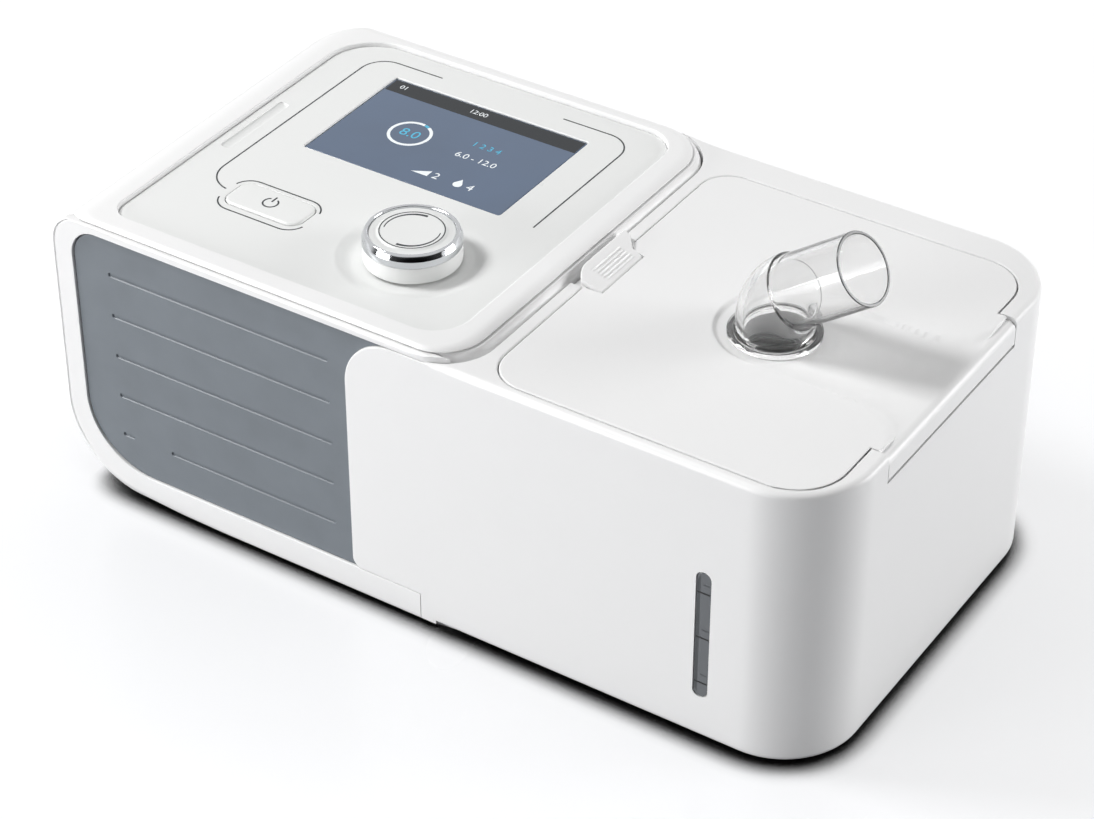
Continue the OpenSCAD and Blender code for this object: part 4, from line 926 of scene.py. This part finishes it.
panel = carve(panel, joins=[in_front(prism(flap, flap_low, flap_high)), *ears], cuts=[
    prism(rebate_outline(16, lid_front - 0.3, -1), 94, 97.65),
    prism(rebate_outline(14, lid_back + 0.3, 1), 94, 97.65),
    prism(latch_hole, 94.4, 98.8),
    along_y(hinge_x, -74, flap_low, hinge_z, 4.95),
    along_y(hinge_x, flap_high, 74, hinge_z, 4.95)])
place_piece("lid_panel", panel, white_abs, "lid", ["lid"], crease=30)

# ---- Latch ----
# White ABS finger latch, sloping up to its left edge, with five fine grip ribs. It turns on a
# steel pin between two ears of the lid, and its hook catches under the shell's rim.

latch_left, latch_right, latch_low, latch_high = 18.2, 28.45, -16.4, 12.0
latch_x, latch_z, grip_low, grip_high = 26.45, 95.6, -10.6, 4.4


def latch_sheets():
    """Closed sheets of the pad. Its top rises linearly to the left edge by 3.2 mm, is rounded by
    0.7 mm along its border, and carries ribs shaped as half sine waves."""
    y = np.linspace(latch_low, latch_high, 72)
    x_low = latch_left + 3.0 * np.clip((-9.0 - y) / 7.4, 0, 1) ** 2
    x_high = np.interp(y, [latch_low, 6.2, 7.0, latch_high],
                       [latch_right, latch_right, 24.45, 20.45])
    share = (1 - np.cos(np.linspace(0, math.pi, 90))) / 2
    x = x_low + (x_high - x_low) * share[:, None]
    ys = np.broadcast_to(y, x.shape)
    plane = 97.7 + 3.2 * (latch_right - x) / (latch_right - latch_left)
    border = np.minimum(np.minimum(x - x_low, x_high - x),
                        np.minimum(y - latch_low, latch_high - y))
    near = np.clip(1 - border / 0.7, 0, 1)
    phase = (26.6 - x) / 1.18
    rib = np.clip(np.sin(phase * 2 * math.pi), 0, 1) * (phase > 0) * (phase < 5)
    rib = rib * np.clip((ys - grip_low) / 0.4, 0, 1) * np.clip((grip_high - ys) / 0.4, 0, 1)
    upper = np.stack([x, ys, plane - 0.7 * (1 - np.sqrt(1 - near ** 2)) + 0.42 * rib], -1)
    lower = np.stack([x, ys, plane - 1.7], -1)
    walls = [np.stack([upper[i], lower[i]]) for i in (0, -1)]
    walls += [np.stack([upper[:, i], lower[:, i]]) for i in (0, -1)]
    return [sheet(upper), sheet(lower), *map(sheet, walls)]


pad = carve(weld(latch_sheets()), joins=[
    along_y(latch_x, latch_low, 6.1, latch_z, 2.1),
    box((25.45, -15.4, 87.2), (27.65, 4.0, latch_z)), box((22.65, -13.4, 87.2), (27.0, 3.5, 89.1))])
place_piece("latch_pad", pad, white_abs, "latch", ["latch"], crease=40)

# ---- Outlet elbow ----
# Clear polycarbonate elbow, injection-moulded, which swivels in the lid. Its mouth takes the
# 22 mm cuff of the breathing hose.

# polished polycarbonate: clear, so that mostly its rims and the edges of its wall show
clear = finish("clear_polycarbonate", "#fbfbfb", 0.03, grain=6.0, relief=0.001, tone=0.004,
               **{"Transmission Weight": 0.97, "IOR": 1.45})
elbow_low, bend_z, bend_r, lean, outlet_l = 89.2, 102.1, 13.8, math.radians(54.0), 26.0
bend_start = bend_z - elbow_low
bend_end = bend_start + lean * bend_r
mouth_s = bend_end + outlet_l


def elbow_sheet(profile):
    """Sheet of rings carried along the elbow's path: upwards, round an arc of 13.8 mm over 54
    degrees, and straight on. Each row of the profile is (distance along the path, radius)."""
    s, r = np.array(profile).T
    angle = np.clip((s - bend_start) / bend_r, 0, lean)
    rest = np.maximum(s - bend_end, 0)
    x = outlet_x + bend_r * (1 - np.cos(angle)) + rest * np.sin(angle)
    z = elbow_low + np.minimum(s, bend_start) + bend_r * np.sin(angle) + rest * np.cos(angle)
    turn = np.radians(np.linspace(0, 360, 73))
    r, angle = r[:, None], angle[:, None]
    return sheet(np.stack([x[:, None] + r * np.cos(angle) * np.cos(turn),
                           outlet_y + r * np.sin(turn),
                           z[:, None] - r * np.sin(angle) * np.cos(turn)], -1))


elbow_profile = [(0, 9.3), (0, 11.0), (7.7, 11.0), (7.7, 13.5), (7.85, 13.9), (8.9, 13.9),
                 (9.2, 13.5), (9.2, 12.2), (9.6, 11.8)]
elbow_profile += [(s, 11.6) for s in np.linspace(10.5, bend_end, 16)]
elbow_profile += [(bend_end + 0.4, 11.1), (bend_end + 1.2, 11.0), (mouth_s - 0.3, 11.0),
                  (mouth_s, 10.8), (mouth_s, 10.15), (mouth_s - 0.2, 9.95), (bend_end + 0.6, 9.4)]
elbow_profile += [(s, 9.3) for s in np.linspace(bend_end, bend_start, 16)] + [(0, 9.3)]
elbow = place_piece("clear_elbow", weld([elbow_sheet(elbow_profile)]), clear, "elbow",
                    ["outlet_elbow"])

# painted shade: the clear end face of the mouth is coloured as a thin dark ring, as it looks when
# seen along the wall
painted_dark_end_face = finish("polycarbonate_end_face_painted_dark", "#33373a", 0.15, grain=2.0, relief=0.002, tone=0.03)
elbow.data.materials.append(painted_dark_end_face)
centres = np.empty(len(elbow.data.polygons) * 3)
elbow.data.polygons.foreach_get("center", centres)
mouth_end = np.array([outlet_x + bend_r * (1 - math.cos(lean)) + outlet_l * math.sin(lean),
                      outlet_y, bend_z + bend_r * math.sin(lean) + outlet_l * math.cos(lean)])
behind_end = (mouth_end - centres.reshape(-1, 3) * 1000) @ (math.sin(lean), 0, math.cos(lean))
elbow.data.polygons.foreach_set("material_index", (behind_end < 0.3).astype(int))

# ---- Water window ----
# Smoked polycarbonate strip, bonded into a slot of the shell, with three moulded level marks.
# Behind it, the tank's own marks show faintly, and a dark sheet of painted shade stands for the
# shaded left wall of the slot.

# tinted polycarbonate: a grey strip with sharp highlights, darker than the shade on the casing
smoked = finish("smoked_polycarbonate", "#565a5f", 0.15, grain=3.0, relief=0.001, tone=0.02,
                **{"Coat Weight": 0.6})
strip = weld(in_front(solid([
    (capsule(window_x, 19.4 - half, 59.9 + half, half), front + y)
    for half, y in ((2.1, 0.25), (2.3, 0.35), (2.4, 0.6), (2.4, 2.9))])))
place_piece("level_window", strip, smoked, "housing", ["water_window"])

# marks moulded in black: matt and clearly darker than the strip
black_mark = finish("black_moulded_mark", "#101112", 0.7, grain=1.0, relief=0.002, tone=0.05,
                    mottle=4.0)
# marks on the tank behind the tinted strip: only a little darker than the strip; the painted shade
# of the slot's left wall takes the same grey
faint_mark_and_shade = finish("grey_mark_and_slot_shade_behind", "#3f4347", 0.3, grain=1.0, relief=0.002, tone=0.05,
                    mottle=4.0)
mark_heights, mark_top = (54.8, 38.6, 22.2), front + 0.3
marks = [part for z in mark_heights for part in box(
    (window_x - 2.1, front + 0.21, z - 0.25), (window_x + 2.1, mark_top, z + 0.25))]
place_piece("level_marks", weld(marks), black_mark, "housing")
behind = [part for z in mark_heights for part in box(
    (window_x - 0.2, front + 0.23, z + 2.8), (window_x + 2.0, mark_top, z + 3.2))]
# painted shade: a thin dark sheet just behind the strip's face stands for the slot's left wall in
# shadow
slot_wall_shade = closed(np.array([(window_x - 2.05, 20.0), (window_x - 1.1, 18.4),
                             (window_x - 1.1, 60.9), (window_x - 2.05, 59.3)]))
behind += in_front(prism(slot_wall_shade, front + 0.23, mark_top))
place_piece("marks_and_slot_shade_behind", weld(behind), faint_mark_and_shade, "housing")

# ---- Inner parts and small parts ----
# Boards, blower, ducts, tank, seals, feet and fasteners, which show when the lid is open or
# from behind and below.

# moulded rubber: nearly black and dull, with a coarse skin
rubber = finish("black_rubber", "#2b2c2e", 0.7, grain=0.8, relief=0.03)
lip_low, lip_high = recess + 0.01, recess + 0.08
lip = [(12.0, lip_low), (13.6, lip_low), (13.6, lip_high), (12.0, lip_high), (12.0, lip_low)]
place_piece("seal_lip", weld([turned(lip, outlet_x, outlet_y)]), rubber, "lid")
# silicone: a milky pale grey with soft highlights
silicone = finish("milky_silicone", "#d5d9dc", 0.45, grain=1.2, relief=0.01)
# turned and ground steel: a light metal with half-sharp reflections
steel = finish("machined_steel", "#b9bcc0", 0.28, grain=0.8, relief=0.004, Metallic=1.0)
# solder mask on the board: dark green and half glossy, cloudy where tracks run below it
board_green = finish("green_circuit_board", "#1d5b38", 0.4, grain=1.5, relief=0.03, tone=0.06,
                     mottle=6.0)
# inner mouldings of nylon: a cool white, duller than the casing
nylon = finish("inner_white_nylon", "#dddfe1", 0.5, grain=0.8, relief=0.01)
# open-cell foam: mid grey and deeply pitted, without shine
foam = finish("grey_acoustic_foam", "#6f7275", 0.95, grain=1.2, relief=0.4, tone=0.08, mottle=3.0)
# pressed felt: a warm, fibrous white without shine
felt = finish("white_filter_felt", "#eceae2", 0.95, grain=0.5, relief=0.15, tone=0.05, mottle=2.0)
# inner mouldings of dark ABS: dull dark grey
dark_abs = finish("dark_grey_abs", "#3c4044", 0.5, grain=0.8, relief=0.01)
# brushed aluminium: a pale metal with soft reflections
aluminium = finish("brushed_aluminium", "#c9ccd0", 0.3, grain=0.8, relief=0.006, Metallic=1.0)
for material, names in {
    rubber: "main_feet humidifier_feet start_switch blower_mounts duct_seal power_inlet "
            "outlet_seal",
    silicone: "tank_gasket inlet_seal",
    steel: "encoder_plunger encoder_shaft board_screws rotor_shaft motor base_screws hinge_pin "
           "latch_pin latch_spring elbow_clip tank_base",
    board_green: "main_board",
    nylon: "blower_lower blower_upper impeller air_duct air_riser heater_insulation",
    foam: "muffler_foam",
    felt: "intake_filter",
    dark_abs: "display_module encoder_body",
    clear: "water_tank tank_lid",
    aluminium: "heater_plate",
    white_abs: "filter_cover humidifier_base",
}.items():
    for name in names.split():
        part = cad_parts[name]
        part.data.materials.clear()
        part.data.materials.append(material)
